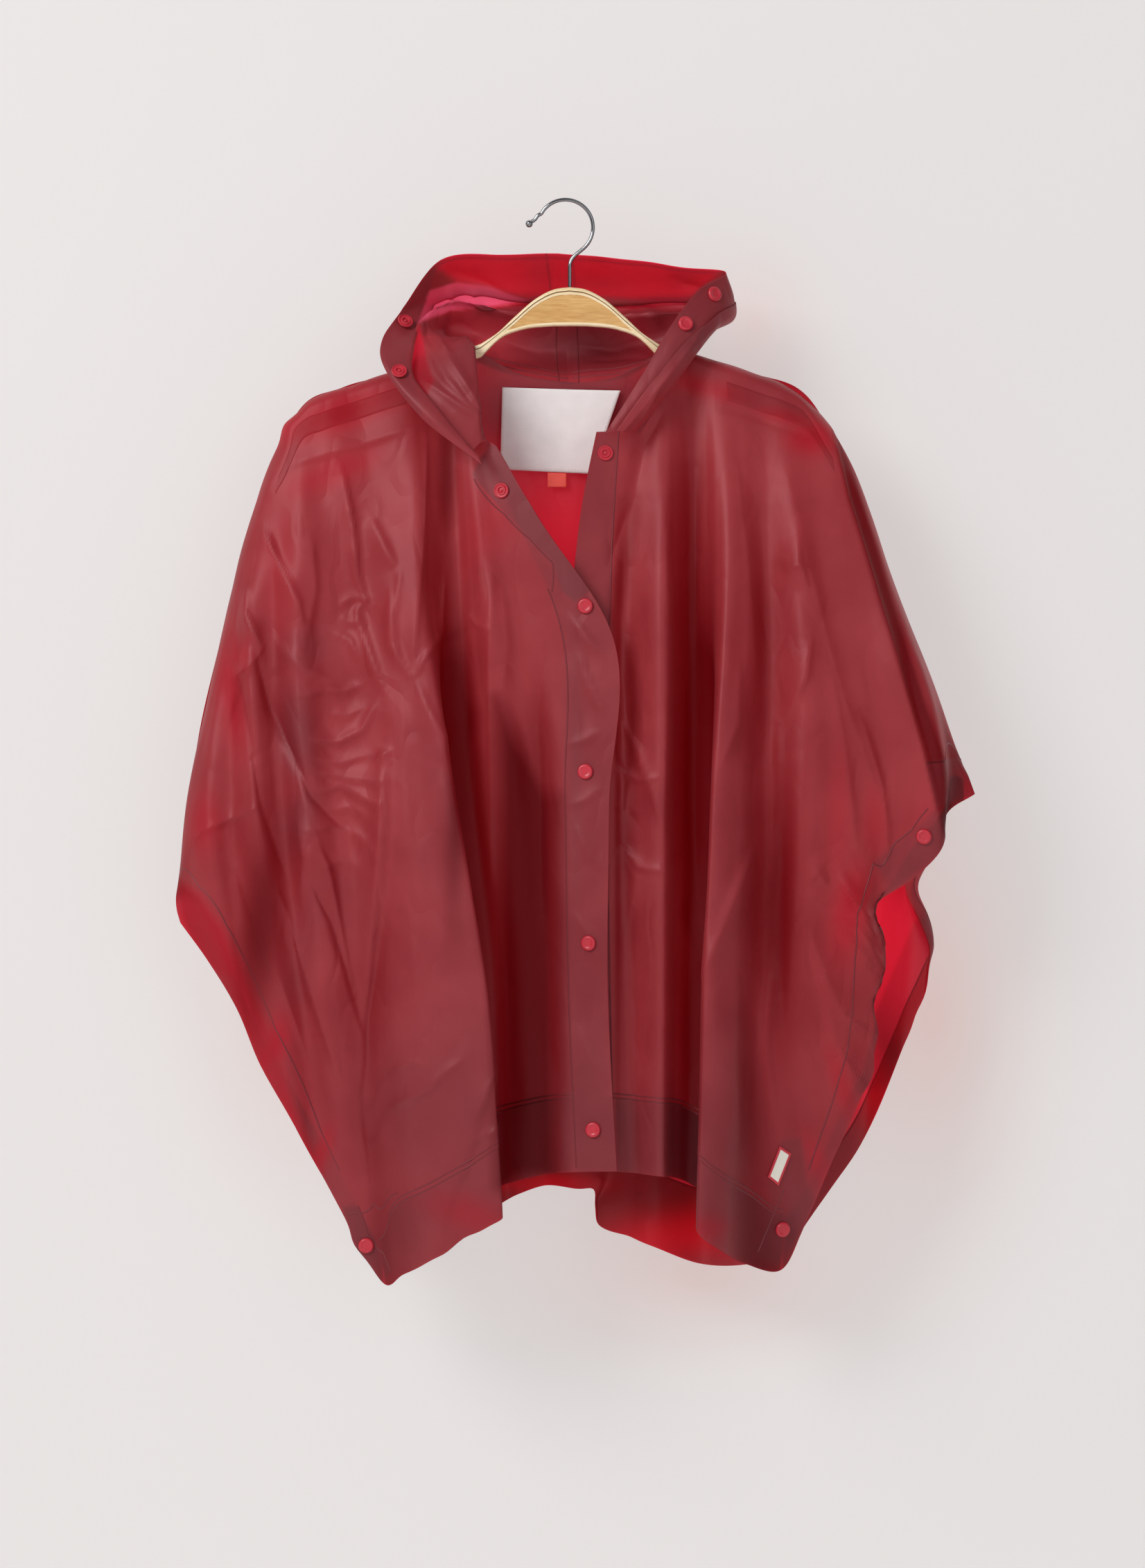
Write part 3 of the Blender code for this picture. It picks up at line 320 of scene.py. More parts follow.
LEFT_FRONT_CREASES = (
    Crease(((133, -187), (170, -196), (214, -214)), 3.0, -1.6),
    # the sleeve's fold, that laps over the sleeve's top behind it
    Crease(((236, -206), (250, -270), (262, -310), (275, -355), (290, -405), (300, -440), (315, -490), (325, -530),
            (337, -577)), 24, 8.5, 0.11),
    Crease(((205, -300), (206, -330), (213, -352)), 10, 4.5, 0.3),
    Crease(((196, -250), (214, -330), (236, -420), (262, -500), (286, -560)), 12, 4.0, 0.7),
    Crease(((194, -336), (204, -330), (214, -333)), 3, 2.6, 1.6),
    Crease(((216, -395), (211, -430), (198, -458)), 10, 4.5, 0.3),
    Crease(((112, -240), (112, -420), (112, -640)), 12, -5.0, 0.7),
    Crease(((186, -500), (188, -620), (190, -760)), 20, -6.0, 1.0),
    Crease(((60, -262), (46, -300), (34, -332)), 8, -4.0),
    Crease(((84, -190), (66, -225), (58, -262)), 7, -4.0),
    Crease(((36, -420), (46, -450), (40, -490)), 6, 2.5),
    Crease(((40, -500), (54, -525), (48, -560)), 5, 2.5),
    Crease(((44, -463), (60, -495), (71, -523), (82, -561)), 3.0, 3.4, 2.4),
    Crease(((40, -508), (62, -522), (80, -520)), 2.6, 2.8, 2.0),
    Crease(((44, -578), (63, -600), (93, -605)), 2.6, 2.8, 2.0),
    Crease(((214, -612), (222, -604), (230, -616)), 2.4, 2.8, 2.0),
    Crease(((240, -641), (257, -650), (279, -690)), 2.6, 4.0, 2.5),
    Crease(((235, -605), (252, -627), (268, -648)), 2.6, 4.0, 2.5),
    Crease(((42, -580), (60, -610), (52, -650)), 6, 2.5),
    Crease(((84, -260), (88, -400), (84, -560)), 12, 3.5, 0.6),
    Crease(((165, -580), (140, -640), (118, -695)), 5, 5.5, 2.6),
    Crease(((133, -512), (150, -470), (152, -420)), 7, 3.5),
    Crease(((150, -240), (158, -320), (166, -420)), 14, 3.5, 0.6),
    Crease(((188, -470), (186, -560), (176, -640)), 12, 4.0, 0.4),
    Crease(((232, -420), (246, -500), (256, -580)), 14, 4.5, 0.5),
    Crease(((240, -600), (258, -640), (276, -668)), 4, 5.5, 2.4),
    Crease(((236, -650), (258, -672), (280, -695)), 4, 5.0, 2.4),
    Crease(((222, -690), (246, -730), (276, -752)), 5, 5.0, 2.4),
    Crease(((242, -760), (256, -785), (270, -800)), 4, 3.5, 2.0),
    Crease(((205, -640), (226, -690), (238, -760)), 6, 4.5, 2.2),
    Crease(((182, -690), (176, -760), (184, -830)), 12, 4.5, 0.4),
    Crease(((150, -700), (146, -780), (150, -850)), 12, 4.0, 0.5),
    Crease(((262, -470), (280, -530), (286, -590)), 12, 4.0, 0.4),
)
HOOD_RIGHT_CREASES = (
    Crease(((-152, -96), (-130, -90), (-100, -92)), 4, 3.0),
    Crease(((-138, -108), (-118, -124), (-96, -160), (-76, -196)), 6, -5.0, 0.6),
    Crease(((-133, -124), (-110, -164), (-90, -184), (-73, -203)), 3.0, -3.5, 2.4),
    Crease(((-102, -164), (-88, -184), (-73, -201)), 2.6, 3.0, 2.0),
    Crease(((-83, -114), (-80, -144), (-76, -176), (-73, -201)), 3.0, 4.0, 0.5),
    Crease(((-112, -122), (-104, -115), (-84, -117)), 2.6, 2.6, 2.0),
    Crease(((-109, -96), (-107, -110), (-114, -122)), 2.6, 2.6, 1.6),
    Crease(((-104, -95), (-76, -92), (-40, -88)), 2.6, 2.6, 0.5),
    Crease(((-115, -57), (-90, -67), (-66, -76)), 2.6, 3.0, 2.0),
    Crease(((-110, -72), (-106, -92)), 2.4, -2.6, 2.0),
    Crease(((-84, -73), (-89, -84), (-88, -92)), 2.4, -2.6, 2.0),
    Crease(((-104, -128), (-84, -118), (-80, -122)), 4, -3.0),
    Crease(((-136, -160), (-118, -172), (-84, -196)), 6, -4.5, 0.7),
    Crease(((-120, -112), (-98, -108), (-84, -116)), 4, 3.0),
    Crease(((-90, -58), (-76, -70), (-60, -76)), 4, 2.0),
    Crease(((-60, -122), (-30, -132), (-10, -128)), 5, 3.0),
    Crease(((-70, -98), (-40, -94), (-16, -100)), 6, -3.0),
)
HOOD_LEFT_CREASES = (
    Crease(((60, -88), (76, -100), (84, -112)), 5, -4.0),
    Crease(((30, -84), (52, -94), (64, -110)), 5, -3.5),
    Crease(((10, -126), (40, -130), (70, -120)), 5, 3.5, 0.6),
    Crease(((20, -140), (50, -136), (78, -140)), 4, 3.0),
    Crease(((90, -64), (104, -72), (122, -76)), 5, 2.5),
    Crease(((120, -112), (112, -128), (98, -146)), 4, 2.5),
    Crease(((96, -150), (80, -170), (66, -196)), 4, 2.5),
)
BACK_CREASES = (
    Crease(((-60, -230), (-52, -330), (-66, -420)), 8, -4.0),
    Crease(((40, -240), (52, -320), (46, -400)), 8, -3.5),
    Crease(((-210, -260), (-196, -380), (-205, -470)), 8, -4.0),
    Crease(((215, -280), (200, -380), (214, -480)), 8, -4.0),
    Crease(((-150, -560), (-170, -640), (-160, -760)), 8, -4.0),
    Crease(((130, -560), (160, -650), (150, -780)), 8, -4.0),
    Crease(((-270, -420), (-250, -480), (-214, -520)), 6, -4.0),
    Crease(((262, -400), (250, -470), (216, -520)), 6, -4.0),
    Crease(((-20, -600), (-6, -700), (-16, -800)), 9, -3.5),
    Crease(((-130, -300), (-100, -330), (-84, -380)), 6, -3.0),
    Crease(((120, -330), (96, -370), (90, -420)), 6, -3.0),
)


# Small waves in the edges: a place, how far the pull reaches, and how far it takes the edge across and up.
Pull = namedtuple("Pull", "x z half across up")
RIGHT_PULLS = (Pull(-187, -938, 15, -5, 0), Pull(-252, -205, 12, -4, 3), Pull(-264, -262, 10, -3, 0),
               Pull(-97, -934, 17, 1, 7), Pull(-72, -918, 15, -1, 3), Pull(-124, -952, 13, 0, 2))
LEFT_PULLS = (Pull(294, -640, 20, -17, 2), Pull(284, -690, 14, 3, 0), Pull(282, -722, 13, -5, 0),
              Pull(276, -752, 14, 4, 0), Pull(270, -785, 16, 6, 0))
BACK_PULLS = (Pull(330, -618, 24, -16, 0), Pull(326, -672, 13, 3, 0), Pull(322, -735, 13, -3, 0),
              Pull(40, -902, 12, -12, -4), Pull(23, -890, 8, 3, 5), Pull(34, -920, 11, -7, -3),
              Pull(262, -842, 60, 6, 0))

# Painted light and shade on the film: where light from behind is painted in as redder film, where layers lie on
# each other and it is darkened, partly as painted shade, and where painted shade darkens a fold. A patch is a soft
# ellipse as seen from the front: its middle, its half sizes, how far it is turned in degrees, and how strong it is.
# A shape is an outline: blur is how soft its edge is.
Patch = namedtuple("Patch", "x z half_x half_z turn strength")
Shape = namedtuple("Shape", "outline blur strength")
LIT_RIGHT = (
    Patch(-205, -190, 62, 17, 20, 0.9), Patch(-212, -244, 42, 14, 24, 0.6), Patch(-150, -172, 26, 9, 18, 0.5),
    Patch(-303, -450, 11, 42, 8, 0.8), Patch(-296, -410, 9, 16, 0, 0.5), Patch(-326, -560, 14, 26, 0, 0.5),
    Shape(((-352, -612), (-332, -624), (-310, -656), (-298, -692), (-304, -704), (-330, -690), (-354, -660)), 5.0, 1.0),
    Shape(((-324, -640), (-296, -682), (-281, -718), (-265, -754), (-252, -798), (-237, -843), (-222, -872),
           (-226, -880), (-250, -840), (-274, -790), (-294, -745), (-314, -705), (-350, -660)), 5.0, 0.75),
    Patch(-268, -764, 13, 34, -25, 1.0),
    Patch(-226, -862, 8, 30, -24, 0.7), Patch(-92, -905, 40, 16, -14, 0.5), Patch(-70, -290, 20, 40, -30, 0.3),
    Patch(-262, -330, 16, 50, 0, 0.25),
)
DOUBLED_AND_SHADE_RIGHT = (
    Patch(-246, -480, 18, 50, 6, 0.7), Patch(-238, -405, 30, 22, 30, 0.4), Patch(-196, -640, 26, 50, 0, 0.2),
    Patch(-240, -690, 16, 90, -10, 0.4), Patch(-243, -556, 16, 34, -16, 0.6),
    Patch(-120, -830, 100, 110, 0, 0.5), Patch(18, -810, 26, 90, 0, 0.5), Patch(5, -500, 7, 130, 0, 0.4),
    Shape(((-88, -248), (-58, -283), (-36, -305), (-15, -327), (-8, -352), (4, -362), (20, -352), (0, -322),
           (-45, -260), (-66, -218), (-80, -232)), 1.2, 0.75),
    Shape(((-205, -905), (-191, -903), (-160, -963), (-170, -978), (-190, -952)), 1.5, 0.75),
    Shape(((-7, -801), (43, -803), (44, -874), (-7, -872)), 1.5, 0.5),
)
FOLD_SHADE_RIGHT = (
    Patch(-276, -650, 20, 76, -6, 0.8), Patch(-111, -250, 9, 60, 0, 0.8), Patch(-98, -520, 10, 110, -3, 0.7),
    Patch(-28, -540, 14, 90, 0, 0.6), Patch(-299, -722, 12, 22, -30, 0.15),
    Shape(((-66, -450), (-34, -500), (-12, -540), (-9, -880), (-62, -880), (-66, -640)), 12.0, 1.0),
)
LIT_LEFT = (
    Patch(216, -214, 20, 15, 0, 0.9), Patch(120, -168, 40, 9, -16, 0.6), Patch(196, -196, 30, 7, -16, 0.6),
    Patch(250, -640, 16, 40, -10, 0.8), Patch(272, -560, 10, 30, 0, 0.35), Patch(118, -920, 22, 12, 0, 0.5),
    Patch(222, -862, 8, 30, 24, 0.4), Patch(246, -800, 8, 40, 20, 0.5), Patch(240, -560, 10, 60, 0, 0.3),
)
DOUBLED_AND_SHADE_LEFT = (
    Patch(60, -600, 24, 120, 0, 0.2), Patch(140, -800, 20, 70, 0, 0.35), Patch(130, -860, 80, 90, 0, 0.4),
    Shape(((189, -843), (208, -842), (213, -880), (221, -899), (194, -964), (167, -946), (180, -905), (176, -880)),
          2.5, 0.6),
    Shape(((318, -505), (352, -501), (368, -534), (328, -545)), 1.5, 0.8),
    Shape(((272, -595), (307, -566), (331, -545), (340, -577), (325, -594), (308, -606), (288, -622)), 2.5, 0.5),
    Shape(((42, -806), (110, -811), (112, -880), (42, -880)), 1.5, 0.4),
)
FOLD_SHADE_LEFT = (
    Patch(110, -420, 11, 210, 0, 0.95), Patch(186, -640, 20, 130, 0, 0.9), Patch(174, -420, 10, 90, 0, 0.5),
    Patch(108, -740, 8, 120, 0, 0.8), Patch(43, -600, 3, 260, 0, 0.6), Patch(46, -340, 8, 60, -10, 0.5),
    Shape(((237, -206), (250, -270), (262, -310), (275, -355), (290, -405), (300, -440), (315, -490), (325, -530),
           (337, -580), (349, -560), (336, -500), (318, -450), (304, -405), (288, -352), (273, -300), (258, -250),
           (244, -212)), 3.0, 0.85),
)
# Painted light and shade on the hood's brim, and inside it below the brim.
LIT_BRIM = (
    Shape(((-121, -57), (-104, -38), (-30, -32), (132, -52), (136, -62), (100, -90), (50, -84), (0, -80), (-38, -84),
           (-73, -73), (-103, -68)), 3.0, 0.85),
)
DOUBLED_AND_SHADE_BRIM = (
    Shape(((-124, -44), (-122, -58), (-136, -107), (-147, -139), (-143, -159), (-131, -194), (-160, -215),
           (-190, -160), (-175, -100), (-140, -55)), 1.0, 0.3),
    Shape(((-137, -109), (-107, -96), (-38, -87), (10, -84), (10, -100), (-50, -118), (-134, -121)), 1.5, 0.5),
    Patch(96, -140, 30, 60, 0, 0.3), Patch(-28, -60, 14, 20, 10, 0.3), Patch(24, -70, 40, 7, -4, 0.25),
    Patch(104, -68, 18, 10, 0, 0.3),
)
# Painted pink light: the hood's film as if lit through from behind.
ROSY_LIGHT_HOOD = (
    Shape(((-128, -78), (-103, -69), (-73, -73), (-38, -85), (-107, -95), (-137, -108)), 1.2, 0.9),
    Shape(((-121, -57), (-104, -38), (-30, -32), (132, -52), (136, -62), (100, -90), (50, -84), (0, -80), (-38, -84),
           (-73, -73), (-103, -68)), 3.0, 0.22),
)
LIT_INSIDE = (
    Shape(((-136, -108), (-146, -139), (-142, -159), (-131, -182), (-122, -164), (-129, -144), (-133, -122)), 1.5, 1.0),
    Patch(-60, -84, 50, 8, 8, 0.4), Patch(60, -86, 50, 6, -4, 0.3),
)
DOUBLED_AND_SHADE_INSIDE = (
    Patch(10, -124, 90, 40, 0, 1.0), Patch(-76, -112, 60, 14, 10, 0.6), Patch(-96, -165, 36, 46, 0, 0.2),
    Patch(90, -112, 50, 36, 0, 0.9),
    Shape(((-137, -109), (-107, -96), (-38, -87), (10, -84), (10, -100), (-50, -118), (-134, -121)), 1.5, 0.6),
)
# Where the film is full of small folds.
CRUMPLED_RIGHT = (Patch(-190, -420, 60, 190, 0, 1.0), Patch(-290, -420, 40, 120, 0, 0.7),
                  Patch(-60, -400, 30, 60, 0, 0.6), Patch(16, -450, 24, 120, 0, 0.8),
                  Patch(-190, -640, 60, 120, 0, 0.6))
CRUMPLED_BACK = (Patch(-230, -460, 50, 160, 0, 0.8), Patch(230, -450, 50, 160, 0, 0.7), Patch(0, -420, 80, 140, 0, 0.5))
CRUMPLED_LEFT = (Patch(52, -520, 20, 160, 0, 0.9), Patch(205, -400, 20, 90, 0, 0.5), Patch(250, -680, 40, 80, 0, 0.9))
# On the back: darkening for doubled layers and painted shade, and painted light through the film.
DOUBLED_AND_SHADE_BACK = (
    Patch(0, -186, 130, 50, 0, 1.0), Patch(0, -880, 70, 20, 0, 0.3),
    Shape(((330, -632), (311, -651), (278, -730), (258, -768), (250, -800), (290, -800), (345, -700)), 2.0, 0.55),
)
LIT_BACK = (
    Patch(288, -660, 34, 92, 12, 1.0), Patch(268, -790, 26, 70, 26, 0.6),
    Patch(0, -300, 40, 50, 0, 0.4), Patch(-20, -888, 50, 10, 0, 0.7), Patch(100, -934, 76, 24, 8, 0.8),
    Patch(130, -600, 60, 200, 0, 0.25),
)


def mm(x, y, z):
    """A place in millimetres as a Blender vector in metres."""
    return Vector((x, y, z)) * 0.001


# ---------------------------------------------------------------- sheets

def smooth_curve(stations, values, at):
    """Values at the places `at` on a smooth curve that passes through `values` at the stations."""
    stations = np.asarray(stations, float)
    values = np.asarray(values, float)
    at = np.asarray(at, float)
    slopes = np.gradient(values, stations, axis=0)
    k = np.clip(np.searchsorted(stations, at, side="right") - 1, 0, len(stations) - 2)
    width = stations[k + 1] - stations[k]
    shape = (-1,) + (1,) * (values.ndim - 1)
    t = ((at - stations[k]) / width).reshape(shape)
    width = width.reshape(shape)
    rise, bend = t * t * (3 - 2 * t), t * (1 - t)
    return (values[k] * (1 - rise) + values[k + 1] * rise
            + width * bend * ((1 - t) * slopes[k] - t * slopes[k + 1]))


ROLL_ROWS = 8
YOKE_ROWS = 10
BAND_ROWS = 16             # grid rows in the band at the hem


def row_lengths(rib):
    """Distances down a rib, in millimetres: the roll, the yoke, the body and the band at the hem."""
    length = rib.top - rib.hem
    short = min(1.0, length / 200)
    roll = short * (rib.roll or ON_HANGER)
    yoke = roll + short * 34
    band_top = length - min(rib.band, 0.45 * length)
    return np.concatenate([
        roll * np.linspace(0, 1, ROLL_ROWS + 1)[:-1] ** 2,
        np.linspace(roll, yoke, YOKE_ROWS + 1)[:-1],
        np.linspace(yoke, band_top, BODY_ROWS + 1)[:-1],
        np.linspace(band_top, length, BAND_ROWS + 1)])


def rib_points(rib):
    """The rib's points, one for each grid row."""
    down = row_lengths(rib)
    length = rib.top - rib.hem
    points = smooth_curve(LEVELS, np.column_stack([rib.x, rib.y]), down / length)
    depth = points[:, 1]
    if rib.roll:
        part = np.clip(down / (rib.roll * min(1.0, length / 200)), 0, 1)
        depth = depth * np.sqrt(1 - (1 - part) ** 2)
    return np.column_stack([points[:, 0], depth, rib.top - down])


def normals_of(points):
    normals = np.cross(np.gradient(points, axis=0), np.gradient(points, axis=1))
    return normals / np.maximum(np.linalg.norm(normals, axis=2, keepdims=True), 1e-9)


class Sheet:
    """A grid of points in millimetres, with the normals that point out of the poncho."""

    def __init__(self, points, outward):
        self.points = points
        self.outward = outward
        self.normals = normals_of(points) * outward

    def part(self, columns, rows):
        return Sheet(self.points[columns[0]:columns[1] + 1, rows[0]:rows[1] + 1], self.outward)

    def lifted(self, distance):
        return Sheet(self.points + self.normals * distance, self.outward)


def panel_sheet(ribs, outward):
    lines = np.array([rib_points(rib) for rib in ribs])
    steps = np.linspace(0, len(ribs) - 1, (len(ribs) - 1) * SUBSTEPS + 1)
    return Sheet(smooth_curve(range(len(ribs)), lines, steps), outward)


# Down a hood rib: row, as a fraction; how far along the rib the film is; how far it lies behind it, in
# millimetres. The film turns back under the band of the face edge and comes on again behind it.
HoodFold = namedtuple("HoodFold", "row along behind")
HOOD_FOLDS = (HoodFold(0, 0, 0), HoodFold(0.30, 0.345, 0), HoodFold(0.34, 0.36, 1.5), HoodFold(0.38, 0.34, 4.5),
              HoodFold(0.42, 0.315, 6.5), HoodFold(0.55, 0.46, 7.5), HoodFold(1, 1, 0))
FACE_BAND = 0.34           # part of the rows that the face edge's band covers
# How wide the band is at a rib, where it isn't as wide as the folds above say.
HOOD_BAND = {"right": {"lower lapel": 1.3, "upper lapel": 1.45, "arm fold": 1.6, "side": 1.35},
             "left": {"upper lapel": 1.2, "arm fold": 1.2}}
# The roll that the hood's film makes over the hanger, and the fold that it drops inwards beside the neck:
# how far each comes forward at each rib.
HOOD_ROLL = {"right": {"centre seam": 22.0, "back": 26.0, "back corner": 28.0, "side": 14.0},
             "left": {"centre seam": 22.0, "back": 26.0, "back corner": 16.0}}
HOOD_DROP = {"right": {"side": 11.0, "arm fold": 27.0, "upper lapel": 26.0, "lower lapel": 13.0},
             "left": {"side": 7.0, "arm fold": 15.0, "upper lapel": 4.0}}
# How much of the fold's depth behind the band a rib has.
HOOD_UNDER = {"right": {}, "left": {"back corner": 0.8, "side": 0.15, "arm fold": 0.5}}
ROLL_ALONG, ROLL_WIDTH = 0.53, 0.085
DROP_ALONG, DROP_WIDTH = 0.84, 0.12
NECK_LAP = 4.5             # the hood reaches this far over the panels at the neck seam
FRONT_LAP = {"right": 4.0, "left": 7.0}    # and this much further at its front end


def hood_sheet(ribs, half):
    down = np.linspace(0, 1, HOOD_ROWS + 1)
    lines = np.array([smooth_curve((0, 0.25, 0.5, 0.75, 1), rib[1:], down) for rib in ribs])
    steps = np.linspace(0, len(ribs) - 1, (len(ribs) - 1) * HOOD_SUBSTEPS + 1)
    flat = Sheet(smooth_curve(range(len(ribs)), lines, steps), 1)
    row, fold, behind = np.array(HOOD_FOLDS).T
    behind = np.interp(down, row, behind)
    tables = (HOOD_ROLL, 0.0), (HOOD_DROP, 0.0), (HOOD_BAND, 1.0), (HOOD_UNDER, 1.0)
    roll, drop, wide, under = (smooth_curve(range(len(ribs)), [table[half].get(rib.name, other) for rib in ribs],
                                            steps) for table, other in tables)
    along = np.array([np.interp(down, row, np.where(row < 0.5, fold * factor, np.maximum(fold, 0.42 * factor)))
                      for factor in wide])
    points, normals = at(flat, np.arange(len(steps))[:, None], along * HOOD_ROWS)
    rolled = roll[:, None] * np.where(down > 0.42, np.exp(-((along - ROLL_ALONG) / ROLL_WIDTH) ** 2), 0.0)
    dropped = drop[:, None] * np.where(down > 0.42, np.exp(-((along - DROP_ALONG) / DROP_WIDTH) ** 2), 0.0)
    points = points + normals * (behind[None, :] * under[:, None] - rolled)[..., None]
    points[..., 2] += 0.25 * rolled
    points[..., 0] += dropped * (1 if half == "right" else -1)
    points[..., 1] -= 0.5 * dropped
    front = np.clip((steps if half == "right" else steps[::-1]), 0, 1)
    points[..., 2] -= (FRONT_LAP[half] * (1 - front))[:, None] * (1 if half == "left" else down[None, :] ** 2)
    points[..., 2] -= NECK_LAP * np.clip((along - 0.94) / 0.06, 0, 1)
    points[..., 1] -= 1.2 * np.clip((along - 0.94) / 0.06, 0, 1)
    return Sheet(points, 1)


def joined(first, second, reach=8):
    """Two sheets with the last column of the first and the first column of the second made one."""
    middle = (first.points[-1] + second.points[0]) / 2
    shift, other = middle - first.points[-1], middle - second.points[0]
    for k in range(reach):
        part = (1 - k / reach) ** 2
        first.points[-1 - k] += shift * part
        second.points[k] += other * part
    return Sheet(first.points, first.outward), Sheet(second.points, second.outward)


def crease_height(points, crease):
    """How far a crease lifts each point of a grid, seen from the front."""
    place = points[..., [0, 2]]
    line = np.array(crease.points, float)
    lengths = np.linalg.norm(np.diff(line, axis=0), axis=1)
    total = lengths.sum()
    nearest = np.full(place.shape[:2], np.inf)
    side = np.ones(place.shape[:2])
    along = np.zeros(place.shape[:2])
    done = 0.0
    for start, end, length in zip(line, line[1:], lengths):
        step = (end - start) / length
        offset = place - start
        t = np.clip(offset @ step, 0, length)
        away = offset - t[..., None] * step
        distance = np.hypot(away[..., 0], away[..., 1])
        closer = distance < nearest
        nearest = np.where(closer, distance, nearest)
        side = np.where(closer, np.sign(step[0] * away[..., 1] - step[1] * away[..., 0]), side)
        along = np.where(closer, (done + t) / total, along)
        done += length
    width = crease.width * (0.5 + 0.5 * np.sin(math.pi * along))
    width = np.where(side > 0, width * crease.lean, width)
    fade = np.sin(math.pi * np.clip(along, 0.02, 0.98)) ** 0.6
    reach = nearest / width
    return crease.height * fade * (0.25 * np.exp(-reach ** 2) + 0.75 * np.exp(-0.8 * reach))


def ripple(points, height, seed, across=60.0, down=300.0, waves=12):
    """Slow, uneven waves in the film: short across and long down."""
    chance = np.random.default_rng(seed)
    total = np.zeros(points.shape[:2])
    for _ in range(waves):
        turn = chance.normal(0, 0.25)
        size = chance.uniform(0.6, 1.8)
        phase = chance.uniform(0, math.tau)
        along = points[..., 0] / (across * size) + points[..., 2] / (down * size) * (1 + turn)
        total += np.sin(math.tau * (along + turn * points[..., 2] / 300) + phase) * size ** 0.5
    return total * height / waves ** 0.5


def pulled(sheet, pulls):
    """The sheet with its edge pulled in or out at some places."""
    points = sheet.points.copy()
    for pull in pulls:
        near = np.exp(-((points[..., 0] - pull.x) ** 2 + (points[..., 2] - pull.z) ** 2) / pull.half ** 2)
        points[..., 0] += pull.across * near
        points[..., 2] += pull.up * near
    return Sheet(points, sheet.outward)


def creased(sheet, creases, ripple_height, seed, forward=0.0):
    """The sheet with its creases; forward is how far they turn from its normals to someone facing it."""
    heights = ripple(sheet.points, ripple_height, seed)
    for crease in creases:
        heights = heights + crease_height(sheet.points, crease)
    way = sheet.normals + np.array((0, sheet.outward * forward, 0))
    way /= np.linalg.norm(way, axis=2, keepdims=True)
    return Sheet(sheet.points + way * heights[..., None], sheet.outward)


def at(sheet, u, v):
    """Points and normals at fractional grid places of a sheet."""
    u, v = np.broadcast_arrays(np.asarray(u, float), np.asarray(v, float))
    i = np.clip(np.floor(u).astype(int), 0, sheet.points.shape[0] - 2)
    j = np.clip(np.floor(v).astype(int), 0, sheet.points.shape[1] - 2)
    a, b = (u - i)[..., None], (v - j)[..., None]
    found = []
    for grid in (sheet.points, sheet.normals):
        near = grid[i, j] * (1 - b) + grid[i, j + 1] * b
        far = grid[i + 1, j] * (1 - b) + grid[i + 1, j + 1] * b
        found.append(near * (1 - a) + far * a)
    return found


def seen_at(sheet, x, z):
    """The place on a sheet that someone in front of it sees at (x, z), and its normal."""
    grid = sheet.points
    near = (np.abs(grid[..., 0] - x) < 14) & (np.abs(grid[..., 2] - z) < 14)
    found = None
    for i, j in np.argwhere(near[:-1, :-1]):
        first = grid[i, j]
        for second, third in ((grid[i + 1, j], grid[i + 1, j + 1]), (grid[i + 1, j + 1], grid[i, j + 1])):
            u, v = second - first, third - first
            area = u[0] * v[2] - v[0] * u[2]
            if abs(area) < 1e-9:
                continue
            s = ((x - first[0]) * v[2] - v[0] * (z - first[2])) / area
            t = (u[0] * (z - first[2]) - (x - first[0]) * u[2]) / area
            if s >= -1e-6 and t >= -1e-6 and s + t <= 1 + 1e-6:
                place = first + s * u + t * v
                if found is None or place[1] < found[0][1]:
                    found = place, sheet.normals[i, j]
    return found


def patched(sheet, patches):
    """How strongly the patches cover each point of a sheet, from 0 to 1."""
    found = np.zeros(sheet.points.shape[:2])
    for patch in patches:
        if isinstance(patch, Shape):
            found = np.maximum(found, shaped(sheet, patch))
            continue
        turn = math.radians(patch.turn)
        x, z = sheet.points[..., 0] - patch.x, sheet.points[..., 2] - patch.z
        u = (x * math.cos(turn) + z * math.sin(turn)) / patch.half_x
        v = (-x * math.sin(turn) + z * math.cos(turn)) / patch.half_z
        found = np.maximum(found, patch.strength * np.exp(-(u * u + v * v) ** 1.2))
    return found


def shaped(sheet, shape):
    """How strongly a shape covers each point of a sheet."""
    x, z = sheet.points[..., 0], sheet.points[..., 2]
    away = np.full(x.shape, np.inf)
    inside = np.zeros(x.shape, bool)
    for (x0, z0), (x1, z1) in zip(shape.outline, shape.outline[1:] + shape.outline[:1]):
        run, fall = x1 - x0, z1 - z0
        t = np.clip(((x - x0) * run + (z - z0) * fall) / (run * run + fall * fall), 0, 1)
        away = np.minimum(away, np.hypot(x - x0 - t * run, z - z0 - t * fall))
        if fall:
            inside ^= ((z0 > z) != (z1 > z)) & (x < x0 + run * (z - z0) / fall)
    return shape.strength * np.clip(0.5 + np.where(inside, away, -away) / (2 * shape.blur), 0, 1)


def recessed(sheet, slope=0.8, depth=26.0):
    """How far down in a fold each point lies, from 0 on a crest to 1; the film's finish paints shade from it."""
    height = sheet.points[..., 1] * sheet.outward
    fall = slope * np.abs(np.diff(sheet.points[..., 0], axis=0))
    crest = height.copy()
    for i in range(1, len(crest)):
        crest[i] = np.maximum(crest[i], crest[i - 1] - fall[i - 1])
    for i in range(len(crest) - 2, -1, -1):
        crest[i] = np.maximum(crest[i], crest[i + 1] - fall[i])
    return np.clip((crest - height) / depth, 0, 1)


# ---------------------------------------------------------------- pieces

def add_object(name, data):
    made = bpy.data.objects.new(name, data)
    bpy.context.collection.objects.link(made)
    return made


def add_piece(name, mesh, finish, slot, *nodes):
    """A piece of the poncho: it rides with the one body and stands for the CAD nodes named."""
    mesh.materials.clear()
    mesh.materials.append(finish)
    piece = add_object(name, mesh)
    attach(piece, "root")
    if nodes:
        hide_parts(*nodes)
    return piece


